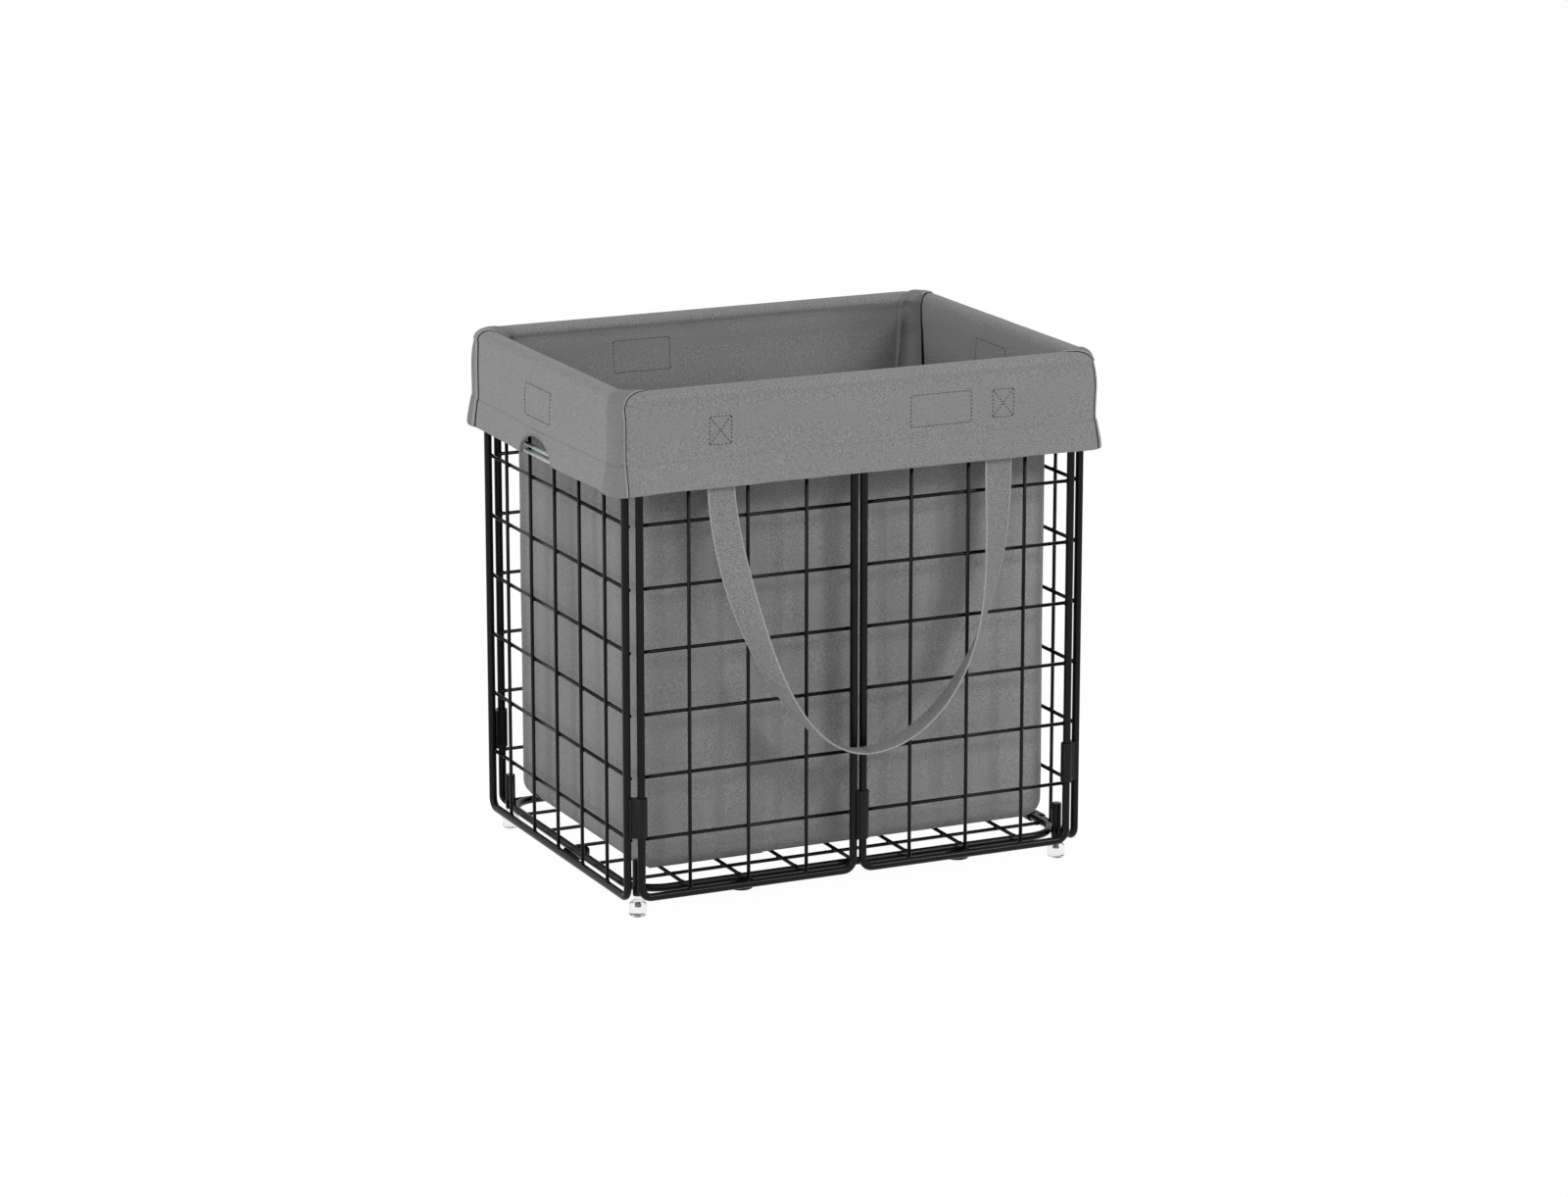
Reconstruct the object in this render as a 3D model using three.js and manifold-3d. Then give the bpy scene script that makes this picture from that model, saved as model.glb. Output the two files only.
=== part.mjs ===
// Folding laundry hamper: a wire frame of hinged panels round a wire base, with a fabric liner whose
// deep cuff is turned down over the frame's top rods and a webbing handle on each long side.
// Millimetres, +Z up, front towards -Y. The origin is on the floor, under the middle of the frame.

import * as THREE from 'three';
import { mergeVertices } from 'three/addons/utils/BufferGeometryUtils.js';
import Module from 'manifold-3d';

const wasm = await Module();
wasm.setup();

// Wire and rod
const rod_r = 3.75;
const wire_r = 1.75;
const weld_sink = 0.3;
const loop_bend_r = 10;
const rod_sides = 8;
const wire_sides = 6;
const bend_steps = 4;

// Clearances
const seat_gap = 0.3;
const running_gap = 0.3;
const overrun = 5;

// Frame
const end_x = 235.9;
const side_y = 173.4;
const corner_step_x = 12.2;
const corner_step_y = 5.05;
const centre_post_x = 5;
const bottom_rod_z = 21.6;
const top_rod_z = 497;
const first_cell_height = 56.3;
const wire_rows = 7;
const upright_pitch = 60;
const end_uprights = 5;
const side_uprights = 3;

// Hinge clips
const clip_wall = 1.95;
const clip_web_width = 7;
const clip_wire_gap = 0.95;
const corner_clip_length = 38.5;
const centre_clip_length = 47.2;
const centre_clip_drop = 2.9;
const clip_relief = 3;
const base_clip_wall = 1.4;
const base_clip_length = 24;
const base_clip_y = 90;
const barrel_sides = 12;
const bore_sides = 12;

// Grip bars on the end panels
const grip_r = 2.15;
const grip_length = 122;
const grip_pitch = 6.8;
const grip_drop = 25.6;
const grip_round_steps = 3;
const grip_sides = 8;

// Base
const base_gap_x = 10.9;
const base_gap_y = 11.4;
const base_rise = 3.9;
const base_bend_r = 34;
const base_cross_pitch = 58.5;
const base_cross_count = 7;
const base_long_count = 5;
const socket_r = 5;
const socket_height = 34.5;
const socket_drop = 5;
const socket_wall = 1.4;
const socket_roof = 3;
const socket_round = 1;
const foot_r = 7.5;
const foot_height = 14;
const foot_round = 3;
const foot_neck_r = 4.2;
const foot_stem_length = 24;
const pad_r = 13;
const pad_depth = 8.4;
const pad_round = 2.2;
const pad_inset = 0.8;
const side_pad_x = 114.4;
const round_sides = 14;

// Liner
const cloth = 2;
const bag_slack_x = 14.95;
const bag_slack_y = 18.45;
const bag_floor_z = 38;
const bag_bottom_r = 18;
const bag_corner_r = 20;
const bag_flare_height = 70.2;
const rim_inset = 3.15;
const inner_wall_depth = 33;
const inner_corner_r = 8;
const cuff_ease = 0.85;
const cuff_corner_r = 14;
const cuff_depth = 94.4;
const cuff_band = 27;
const cuff_flare = 1.8;
const cuff_bulge = 4;
const rim_ease = 0.45;
const rim_round = 1.4;
const arch_width = 76;
const arch_height = 23;
const arch_steps = 12;
const binding_width = 13;
const binding_thickness = 2.6;
const plan_steps = 5;

// Handle straps
const strap_width = 25;
const strap_thickness = 1.5;
const strap_arm_x = 143.5;
const strap_sewn_height = 66;
const strap_low_z = 142;
const strap_steps = 12;
const strap_arm_share = 0.12;
const strap_spread = 1.72;

// Colours
const black_coat = { color: 0x16171a, roughness: 0.42, metalness: 0.4 };
const black_plastic = { color: 0x141416, roughness: 0.55, metalness: 0 };
const clear_plastic = { color: 0xe6e9ea, roughness: 0.12, metalness: 0 };
const grip_finish = { color: 0xb9bdb8, roughness: 0.35, metalness: 0.1 };
const grey_cloth = { color: 0x77787a, roughness: 0.9, metalness: 0 };

// Sizes that follow from the ones above
const row_pitch = (top_rod_z - bottom_rod_z - first_cell_height) / wire_rows;
const first_wire_z = bottom_rod_z + first_cell_height;
const last_wire_z = top_rod_z - row_pitch;
const wire_setback = 2 * wire_r - weld_sink;
const end_post_y = side_y - corner_step_y;
const side_post_x = end_x - corner_step_x;
const clip_r = rod_r + clip_wall;
const bore_r = rod_r + running_gap;
const base_half_x = end_x - base_gap_x;
const base_half_y = side_y - base_gap_y;
const base_z = bottom_rod_z + base_rise;
const bag_half_x = end_x - wire_setback - wire_r - bag_slack_x;
const bag_half_y = side_y - wire_setback - wire_r - bag_slack_y;
const rim_half_x = end_x - rod_r - rim_inset;
const rim_half_y = side_y - rod_r - rim_inset;
const cuff_half_x = end_x + clip_r + cuff_ease + cloth;
const cuff_half_y = side_y + clip_r + cuff_ease + cloth;
const rim_z = top_rod_z + rod_r + rim_ease + cloth;
const hem_z = rim_z - cuff_depth;
const seam_z = hem_z + cuff_band;
const inner_wall_z = rim_z - inner_wall_depth;
const bag_flare_z = inner_wall_z - bag_flare_height;

const quarter = Math.PI / 2;
const V = (x, y, z) => new THREE.Vector3(x, y, z);

// Solids

function triangles(geometry) {
  const plain = geometry.clone();
  plain.deleteAttribute('normal');
  plain.deleteAttribute('uv');
  const merged = mergeVertices(plain);
  const kept = [];
  const index = merged.index.array;
  for (let i = 0; i < index.length; i += 3) {
    const [a, b, c] = [index[i], index[i + 1], index[i + 2]];
    if (a !== b && b !== c && c !== a) kept.push(a, b, c);
  }
  return { points: Float32Array.from(merged.attributes.position.array), index: Uint32Array.from(kept) };
}

function geometryOf(points, index) {
  const geometry = new THREE.BufferGeometry();
  geometry.setAttribute('position', new THREE.BufferAttribute(Float32Array.from(points), 3));
  geometry.setIndex(new THREE.BufferAttribute(Uint32Array.from(index), 1));
  geometry.computeVertexNormals();
  return geometry;
}

function volumeOf(points, index) {
  const at = (i) => V(points[3 * i], points[3 * i + 1], points[3 * i + 2]);
  let volume = 0;
  for (let i = 0; i < index.length; i += 3) {
    volume += at(index[i]).dot(at(index[i + 1]).cross(at(index[i + 2])));
  }
  return volume;
}

// A closed surface with its faces turned out.
function facingOut(points, index) {
  return geometryOf(points, volumeOf(points, index) < 0 ? index.slice().reverse() : index);
}

function closed(geometry) {
  const { points, index } = triangles(geometry);
  return facingOut(points, index);
}

function solidOf(geometry) {
  const { points, index } = triangles(geometry);
  return new wasm.Manifold(new wasm.Mesh({ numProp: 3, vertProperties: points, triVerts: index }));
}

function fromSolid(solid) {
  const mesh = solid.getMesh();
  return geometryOf(mesh.vertProperties, mesh.triVerts);
}

function join(geometries) {
  return geometries.map(solidOf).reduce((whole, piece) => whole.add(piece));
}

function cut(whole, geometries) {
  return geometries.map(solidOf).reduce((left, tool) => left.subtract(tool), whole);
}

function rod(from, to, radius, sides) {
  const along = to.clone().sub(from);
  const geometry = new THREE.CylinderGeometry(radius, radius, along.length(), sides);
  geometry.applyQuaternion(new THREE.Quaternion().setFromUnitVectors(V(0, 1, 0), along.clone().normalize()));
  const middle = from.clone().add(to).multiplyScalar(0.5);
  return geometry.translate(middle.x, middle.y, middle.z);
}

function block(low, high) {
  const size = high.clone().sub(low);
  const middle = low.clone().add(high).multiplyScalar(0.5);
  return new THREE.BoxGeometry(size.x, size.y, size.z).translate(middle.x, middle.y, middle.z);
}

// A bore whose flats, not its corners, keep the stated radius.
function bore(from, to, radius) {
  return rod(from, to, radius / Math.cos(Math.PI / bore_sides), bore_sides);
}

// A turned piece round the Z axis, from [radius, height] pairs that start and end on the axis.
function turned(profile, sides) {
  const points = profile.map(([radius, height]) => new THREE.Vector2(radius, height));
  return closed(new THREE.LatheGeometry(points, sides).rotateX(quarter));
}

function coordinates(rings) {
  return rings.flat().flatMap((p) => [p.x, p.y, p.z]);
}

function skin(rings, loops) {
  const count = rings[0].length;
  const index = [];
  for (let i = 0; i < (loops ? rings.length : rings.length - 1); i += 1) {
    for (let j = 0; j < count; j += 1) {
      const a = i * count + j;
      const b = i * count + ((j + 1) % count);
      const c = ((i + 1) % rings.length) * count + j;
      const d = ((i + 1) % rings.length) * count + ((j + 1) % count);
      index.push(a, c, b, b, c, d);
    }
  }
  return index;
}

// A surface through rings of points whose last ring joins its first.
function looped(rings) {
  return facingOut(coordinates(rings), skin(rings, true));
}

// A surface through rings of points, closed by a flat face on its first and last ring.
function capped(rings) {
  const count = rings[0].length;
  const last = (rings.length - 1) * count;
  const index = skin(rings, false);
  for (let j = 1; j < count - 1; j += 1) {
    index.push(0, j, j + 1, last, last + j + 1, last + j);
  }
  return facingOut(coordinates(rings), index);
}

// Corners of a rounded rectangle in order, each with its outward direction.
function roundedOutline(half_x, half_y, radius, straight_steps = 1) {
  const outline = [];
  const signs = [[1, 1], [-1, 1], [-1, -1], [1, -1]];
  signs.forEach(([sx, sy], corner) => {
    for (let i = 0; i <= bend_steps; i += 1) {
      const angle = (corner + i / bend_steps) * quarter;
      const [nx, ny] = [Math.cos(angle), Math.sin(angle)];
      const x = sx * (half_x - radius) + radius * nx;
      const y = sy * (half_y - radius) + radius * ny;
      outline.push({ x, y, nx, ny });
    }
    const from = outline[outline.length - 1];
    const [tx, ty] = signs[(corner + 1) % signs.length];
    const to = { x: tx * (half_x - radius) + radius * from.nx, y: ty * (half_y - radius) + radius * from.ny };
    for (let i = 1; i < straight_steps; i += 1) {
      const share = i / straight_steps;
      outline.push({ ...from, x: from.x + (to.x - from.x) * share, y: from.y + (to.y - from.y) * share });
    }
  });
  return outline;
}

// A rod bent into a rounded rectangle in the XY plane.
function rodLoop(half_x, half_y, bend_r) {
  const rings = roundedOutline(half_x, half_y, bend_r).map((p) => {
    const ring = [];
    for (let i = 0; i < rod_sides; i += 1) {
      const angle = (i / rod_sides) * 2 * Math.PI;
      const out = rod_r * Math.cos(angle);
      ring.push(V(p.x + out * p.nx, p.y + out * p.ny, rod_r * Math.sin(angle)));
    }
    return ring;
  });
  return looped(rings);
}

// Frame panels, drawn flat: X across, Y up from the bottom rod, Z towards the outside

function spread(count, pitch) {
  return Array.from({ length: count }, (_, i) => (i - (count - 1) / 2) * pitch);
}

function panel(half_width, uprights) {
  const half_height = (top_rod_z - bottom_rod_z) / 2;
  const pieces = [rodLoop(half_width, half_height, loop_bend_r).translate(0, half_height, 0)];
  for (let row = 0; row < wire_rows; row += 1) {
    const y = first_cell_height + row * row_pitch;
    pieces.push(rod(V(-half_width, y, -wire_setback), V(half_width, y, -wire_setback), wire_r, wire_sides));
  }
  for (const x of spread(uprights, upright_pitch)) {
    pieces.push(rod(V(x, 0, 0), V(x, 2 * half_height, 0), wire_r, wire_sides));
  }
  return fromSolid(join(pieces));
}

// Base panel, with the cross wires on top of the long ones
function basePanel() {
  const pieces = [rodLoop(base_half_x, base_half_y, base_bend_r)];
  const level = wire_setback / 2;
  for (const y of spread(base_long_count, upright_pitch)) {
    pieces.push(rod(V(-base_half_x, y, -level), V(base_half_x, y, -level), wire_r, wire_sides));
  }
  for (const x of spread(base_cross_count, base_cross_pitch)) {
    pieces.push(rod(V(x, -base_half_y, level), V(x, base_half_y, level), wire_r, wire_sides));
  }
  return fromSolid(join(pieces));
}

// Two barrels joined by a web, one round the rod at the origin and one round the rod at (dx, dy).
function twinClip(dx, dy, wall, length) {
  const outer_r = rod_r + wall;
  const solid = join([
    rod(V(0, 0, 0), V(0, 0, length), outer_r, barrel_sides),
    rod(V(dx, dy, 0), V(dx, dy, length), outer_r, barrel_sides),
    block(V(0, -clip_web_width / 2, 0), V(Math.hypot(dx, dy), clip_web_width / 2, length))
      .rotateZ(Math.atan2(dy, dx)),
  ]);
  return cut(solid, [
    bore(V(0, 0, -overrun), V(0, 0, length + overrun), bore_r),
    bore(V(dx, dy, -overrun), V(dx, dy, length + overrun), bore_r),
  ]);
}

// A corner clip, in an end panel's frame: the end post at its origin, the long side's post beyond it.
// Its barrel is flattened towards the middle of the end, so that the base can swing past it.
function cornerClip(hand) {
  const dx = hand * corner_step_y;
  const dy = corner_step_x;
  const solid = twinClip(dx, dy, clip_wall, corner_clip_length);
  const reach = clip_r + overrun;
  const inner = -hand * reach;
  const near = -hand * clip_web_width / 2;
  const relief = block(
    V(Math.min(inner, near), clip_relief, -overrun),
    V(Math.max(inner, near), reach, corner_clip_length + overrun),
  );
  return fromSolid(cut(solid, [relief]));
}

// A centre clip holds the inner posts of two half panels. Where a wire row crosses it, the half that
// faces the bag is cut away, so that the wires can swing with their panels.
function centreClip(length, wire_height) {
  const solid = twinClip(2 * centre_post_x, 0, clip_wall, length);
  const half_slot = wire_r + clip_wire_gap;
  const crosses = wire_height > -half_slot && wire_height < length + half_slot;
  const slot = block(
    V(-clip_r - overrun, 0, wire_height - half_slot),
    V(2 * centre_post_x + clip_r + overrun, clip_r + overrun, wire_height + half_slot),
  );
  return fromSolid(crosses ? cut(solid, [slot]) : solid);
}

// A clip that carries the base's rod on the bottom rod of an end panel, drawn along Z.
function baseClip() {
  return fromSolid(twinClip(-base_gap_x, base_rise, base_clip_wall, base_clip_length));
}

function gripBar() {
  const straight = grip_length - 2 * grip_r;
  const bar = new THREE.CapsuleGeometry(grip_r, straight, grip_round_steps, grip_sides);
  return closed(bar.rotateZ(quarter));
}

// Foot socket: a tube with a closed, rounded top, standing on Z = 0.
function socket() {
  return turned([
    [0, socket_height],
    [socket_r - socket_round, socket_height],
    [socket_r, socket_height - socket_round],
    [socket_r, 0],
    [socket_r - socket_wall, 0],
    [socket_r - socket_wall, socket_height - socket_roof],
    [0, socket_height - socket_roof],
  ], round_sides);
}

// Levelling foot: a cap on the floor, a neck under the socket and a stem inside it.
function foot() {
  const neck_top = base_z - socket_drop - seat_gap;
  const stem_r = socket_r - socket_wall - seat_gap;
  return turned([
    [0, 0],
    [foot_r - foot_round, 0],
    [foot_r - foot_round * (1 - Math.SQRT1_2), foot_round * (1 - Math.SQRT1_2)],
    [foot_r, foot_round],
    [foot_r, foot_height],
    [foot_neck_r, foot_height],
    [foot_neck_r, neck_top],
    [stem_r, neck_top],
    [stem_r, neck_top + foot_stem_length],
    [0, neck_top + foot_stem_length],
  ], round_sides);
}

// Round pad, hung under the base's rod with its top at Z = 0.
function pad() {
  return turned([
    [0, -pad_depth],
    [pad_r - pad_round, -pad_depth],
    [pad_r, -pad_depth + pad_round],
    [pad_r, 0],
    [0, 0],
  ], round_sides);
}

// Liner

function ring(half_x, half_y, radius, z, bulge = 0) {
  return roundedOutline(half_x, half_y, radius, plan_steps).map((p) => {
    const reach = Math.max(0, 1 - (p.y / (half_y - radius)) ** 2);
    const out = Math.abs(p.nx) > Math.abs(p.ny) ? bulge * reach * Math.sign(p.nx) : 0;
    return V(p.x + out, p.y, z);
  });
}

// The bag is a tub with rounded lower edges that widens to the frame's top rods.
function bagSkin(inset) {
  const bottom = bag_floor_z + inset;
  const bend = bag_bottom_r - inset;
  const rings = [];
  for (let i = 0; i <= bend_steps; i += 1) {
    const angle = (i / bend_steps) * quarter;
    const pull = inset + bend * (1 - Math.sin(angle));
    rings.push(ring(bag_half_x - pull, bag_half_y - pull, bag_corner_r - inset,
      bottom + bend * (1 - Math.cos(angle))));
  }
  const top = inner_wall_z - seat_gap;
  rings.push(ring(bag_half_x - inset, bag_half_y - inset, bag_corner_r - inset, bag_flare_z));
  rings.push(ring(rim_half_x - inset, rim_half_y - inset, inner_corner_r, top));
  if (inset > 0) rings.push(ring(rim_half_x - inset, rim_half_y - inset, inner_corner_r, top + overrun));
  return capped(rings);
}

function bag() {
  return fromSolid(cut(solidOf(bagSkin(0)), [bagSkin(cloth)]));
}

// The cuff's section, from the hem up the outside, over the rim and down the inside. Its faces are
// moved out by lift, and its outside is as thick as the cloth that is asked for.
function cuffSection(lift, thickness) {
  const out_x = cuff_half_x + lift;
  const out_y = cuff_half_y + lift;
  const in_x = rim_half_x - cloth - lift;
  const in_y = rim_half_y - cloth - lift;
  const top = rim_z + lift;
  const outer = (drop, z, bulge, wall) => ring(out_x + drop - wall, out_y + drop - wall,
    cuff_corner_r + lift - wall, z, bulge);
  const inner = (z, wall, ease) => ring(in_x + wall + ease, in_y + wall + ease, inner_corner_r, z);
  return looped([
    outer(cuff_flare, hem_z, cuff_bulge, 0),
    outer(0, seam_z, cuff_bulge, 0),
    outer(0, top - rim_round, 0, 0),
    outer(-rim_round, top, 0, 0),
    inner(top, 0, rim_round),
    inner(top - rim_round, 0, 0),
    inner(inner_wall_z, 0, 0),
    inner(inner_wall_z, thickness, 0),
    inner(top - thickness, thickness, 0),
    outer(0, top - thickness, 0, thickness),
    outer(0, seam_z, cuff_bulge, thickness),
    outer(cuff_flare, hem_z, cuff_bulge, thickness),
  ]);
}

// The arch over a grip, cut through the outside of the cuff on one end.
function archCutter(side) {
  const shape = new THREE.Shape();
  const half = arch_width / 2;
  shape.moveTo(-half, -overrun);
  shape.lineTo(half, -overrun);
  shape.lineTo(half, 0);
  shape.absellipse(0, 0, half, arch_height, 0, Math.PI, false);
  shape.lineTo(-half, -overrun);
  const inside = end_x + rod_r;
  const depth = cuff_half_x + cuff_bulge + cuff_flare + overrun - inside;
  const tool = new THREE.ExtrudeGeometry(shape, { depth, bevelEnabled: false, curveSegments: arch_steps });
  tool.rotateX(quarter).rotateZ(quarter);
  tool.translate(inside, 0, hem_z);
  return side > 0 ? tool : tool.rotateZ(Math.PI);
}

function cuff() {
  return fromSolid(cut(solidOf(cuffSection(0, cloth)), [archCutter(1), archCutter(-1)]));
}

// A binding is the strip over one corner of the cuff, cut from a second skin laid on it.
function binding(sx, sy) {
  const skinned = cuffSection(seat_gap + binding_thickness, binding_thickness);
  const reach = Math.hypot(cuff_half_x, cuff_half_y);
  const strip = block(
    V(0, -binding_width / 2, hem_z - overrun),
    V(reach, binding_width / 2, rim_z + overrun + binding_thickness),
  );
  const corner_x = cuff_half_x - cuff_corner_r;
  const corner_y = cuff_half_y - cuff_corner_r;
  strip.translate(-reach / 2, 0, 0).rotateZ(Math.atan2(sy, sx)).translate(sx * corner_x, sy * corner_y, 0);
  return fromSolid(solidOf(skinned).intersect(solidOf(strip)));
}

// A strap hangs in a loop from under the cuff. It lies flat at its arms and turns on edge as it runs
// round the bottom of the loop, with its inner edge against the frame.
function strap() {
  const face_y = side_y + rod_r + seat_gap + strap_thickness / 2;
  const arm_top = hem_z + strap_sewn_height;
  const drop = hem_z - strap_low_z;
  const stations = [{ x: -strap_arm_x, z: arm_top, turn: 0 }];
  for (let i = 0; i <= 2 * strap_steps; i += 1) {
    const t = i / strap_steps - 1;
    const x = strap_arm_x * Math.sign(t) * Math.abs(t) ** (1 / strap_spread);
    const z = strap_low_z + drop * Math.abs(t) ** strap_spread;
    stations.push({ x, z, turn: Math.max(0, 1 - Math.abs(t) / (1 - strap_arm_share)) });
  }
  stations.push({ x: strap_arm_x, z: arm_top, turn: 0 });
  const rings = stations.map((s, i) => {
    const before = stations[Math.max(0, i - 1)];
    const after = stations[Math.min(stations.length - 1, i + 1)];
    const along = V(after.x - before.x, 0, after.z - before.z).normalize();
    const flat = V(-along.z, 0, along.x);
    const angle = s.turn * quarter;
    const across = flat.clone().multiplyScalar(Math.cos(angle)).add(V(0, -Math.sin(angle), 0));
    const through = across.clone().cross(along).normalize();
    const stand = (strap_width - strap_thickness) / 2 * Math.sin(angle);
    const middle = V(s.x, -face_y - stand, s.z);
    return [[1, 1], [-1, 1], [-1, -1], [1, -1]].map(([a, b]) => middle.clone()
      .addScaledVector(across, a * strap_width / 2).addScaledVector(through, b * strap_thickness / 2));
  });
  return capped(rings);
}

// Scene

const hamper = new THREE.Group();

const corners = [
  ['front_left', -1, -1],
  ['front_right', 1, -1],
  ['back_right', 1, 1],
  ['back_left', -1, 1],
];

function add(group, name, geometry, finish, x = 0, y = 0, z = 0) {
  const mesh = new THREE.Mesh(geometry, new THREE.MeshStandardMaterial(finish));
  mesh.name = name;
  mesh.position.set(x, y, z);
  group.add(mesh);
  return mesh;
}

// One side of the hamper, drawn as if it faced the front and then turned about Z.
function side(turn) {
  const group = new THREE.Group();
  group.rotation.z = turn;
  hamper.add(group);
  return group;
}

const lower_clip_z = first_wire_z + wire_r + clip_wire_gap;
const upper_clip_z = last_wire_z + wire_r + clip_wire_gap;

function addEnd(end, turn, left_corner, right_corner) {
  const group = side(turn);
  const frame = add(group, `${end}_end_panel`, panel(end_post_y, end_uprights), black_coat,
    0, -end_x, bottom_rod_z);
  frame.rotation.x = quarter;
  for (const [hand, corner] of [[-1, left_corner], [1, right_corner]]) {
    for (const [level, z] of [['lower', lower_clip_z], ['upper', upper_clip_z]]) {
      add(group, `${end}_${corner}_${level}_clip`, cornerClip(hand), black_plastic,
        hand * end_post_y, -end_x, z);
    }
  }
  const grip_y = -end_x - wire_r - seat_gap - grip_r;
  const upper_z = last_wire_z - grip_drop;
  add(group, `${end}_upper_grip_bar`, gripBar(), grip_finish, 0, grip_y, upper_z);
  add(group, `${end}_lower_grip_bar`, gripBar(), grip_finish, 0, grip_y, upper_z - grip_pitch);
  return group;
}

function addLongSide(long_side, turn, first_half, second_half) {
  const group = side(turn);
  const middle = (side_post_x + centre_post_x) / 2;
  const half_width = (side_post_x - centre_post_x) / 2;
  for (const [hand, half] of [[-1, first_half], [1, second_half]]) {
    const frame = add(group, `${long_side}_${half}_panel`, panel(half_width, side_uprights), black_coat,
      hand * middle, -side_y, bottom_rod_z);
    frame.rotation.x = quarter;
  }
  const low = first_wire_z - centre_clip_drop - centre_clip_length / 2;
  add(group, `${long_side}_centre_lower_clip`, centreClip(centre_clip_length, first_wire_z - low),
    black_plastic, -centre_post_x, -side_y, low);
  add(group, `${long_side}_centre_upper_clip`, centreClip(corner_clip_length, last_wire_z - upper_clip_z),
    black_plastic, -centre_post_x, -side_y, upper_clip_z);
  add(group, `${long_side}_strap`, strap(), grey_cloth);
}

function addBase() {
  const base = new THREE.Group();
  hamper.add(base);
  add(base, 'base_panel', basePanel(), black_coat, 0, 0, base_z);
  const reach = (base_bend_r + rod_r + socket_r + seat_gap) * Math.SQRT1_2 - base_bend_r;
  for (const [corner, sx, sy] of corners) {
    const x = sx * (base_half_x + reach);
    const y = sy * (base_half_y + reach);
    add(base, `${corner}_socket`, socket(), black_coat, x, y, base_z - socket_drop);
    add(base, `${corner}_foot`, foot(), clear_plastic, x, y, 0);
  }
  const pad_z = base_z - rod_r - seat_gap;
  const end_pad_x = end_x - wire_setback - wire_r - pad_inset - pad_r;
  const side_pad_y = side_y - rod_r - pad_inset - pad_r;
  add(base, 'left_pad', pad(), black_plastic, -end_pad_x, 0, pad_z);
  add(base, 'right_pad', pad(), black_plastic, end_pad_x, 0, pad_z);
  for (const [corner, sx, sy] of corners) {
    add(base, `${corner}_pad`, pad(), black_plastic, sx * side_pad_x, sy * side_pad_y, pad_z);
  }
}

// The base turns on the bottom rod of the right end.
function addBaseClips() {
  for (const [place, y] of [['front', -base_clip_y], ['back', base_clip_y]]) {
    const clip = add(hamper, `base_hinge_${place}_clip`, baseClip(), black_plastic,
      end_x, y + base_clip_length / 2, bottom_rod_z);
    clip.rotation.x = quarter;
  }
}

function addLiner() {
  const liner = new THREE.Group();
  hamper.add(liner);
  add(liner, 'liner_bag', bag(), grey_cloth);
  add(liner, 'liner_cuff', cuff(), grey_cloth);
  for (const [corner, sx, sy] of corners) {
    add(liner, `${corner}_binding`, binding(sx, sy), grey_cloth);
  }
}

addEnd('right', quarter, 'front', 'back');
addEnd('left', -quarter, 'back', 'front');
addLongSide('front', 0, 'left', 'right');
addLongSide('back', Math.PI, 'right', 'left');
addBase();
addBaseClips();
addLiner();

export default hamper;
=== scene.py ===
"""Folding laundry hamper: the visible model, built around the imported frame."""

import math

import bpy
import numpy as np
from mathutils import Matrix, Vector, noise


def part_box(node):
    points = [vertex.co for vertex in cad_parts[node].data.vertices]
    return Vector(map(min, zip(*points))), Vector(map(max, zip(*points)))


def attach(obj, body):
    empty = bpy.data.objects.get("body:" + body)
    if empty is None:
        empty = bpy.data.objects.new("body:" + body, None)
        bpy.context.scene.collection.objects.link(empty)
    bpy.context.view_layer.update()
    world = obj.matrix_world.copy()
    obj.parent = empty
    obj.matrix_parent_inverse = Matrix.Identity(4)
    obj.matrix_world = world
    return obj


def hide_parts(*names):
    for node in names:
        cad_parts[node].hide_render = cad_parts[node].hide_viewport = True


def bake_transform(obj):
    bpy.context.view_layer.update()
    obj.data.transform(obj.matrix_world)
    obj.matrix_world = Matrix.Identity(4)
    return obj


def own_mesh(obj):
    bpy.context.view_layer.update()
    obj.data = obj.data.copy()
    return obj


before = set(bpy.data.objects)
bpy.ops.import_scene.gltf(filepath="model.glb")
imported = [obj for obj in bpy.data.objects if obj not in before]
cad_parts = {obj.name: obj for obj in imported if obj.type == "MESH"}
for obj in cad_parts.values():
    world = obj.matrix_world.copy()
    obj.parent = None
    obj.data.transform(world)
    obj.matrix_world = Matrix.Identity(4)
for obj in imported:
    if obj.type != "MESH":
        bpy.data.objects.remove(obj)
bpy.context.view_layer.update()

# Sizes are in millimetres, and turned to metres where a mesh is made.
MM = 0.001
SMALL = 0.01

# Wire and rod
ROD_R = 3.75
WIRE_R = 1.75
SETBACK = 3.2
BEND_R = 10.0
BASE_BEND_R = 34.0
ROD_SIDES = 20
WIRE_SIDES = 12
BEND_STEPS = 8
WELD_R = 2.35
WELD_LONG = 3.1
POST_WELD_SHARE = 0.8

# Frame
END_X = 235.9
END_POST_Y = 168.35
SIDE_Y = 173.4
SIDE_POST_X = 223.7
CENTRE_POST_X = 5.0
BOTTOM_Z = 21.6
TOP_Z = 497.0
FIRST_CELL = 56.3
ROWS = 7
ROW_PITCH = (TOP_Z - BOTTOM_Z - FIRST_CELL) / ROWS
UPRIGHT_PITCH = 60.0
END_UPRIGHTS = 5
SIDE_UPRIGHTS = 3

# Base
BASE_X = 225.0
BASE_Y = 162.0
BASE_Z = 25.5
CROSS_PITCH = 58.5
CROSS_WIRES = 7
LONG_WIRES = 5

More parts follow.
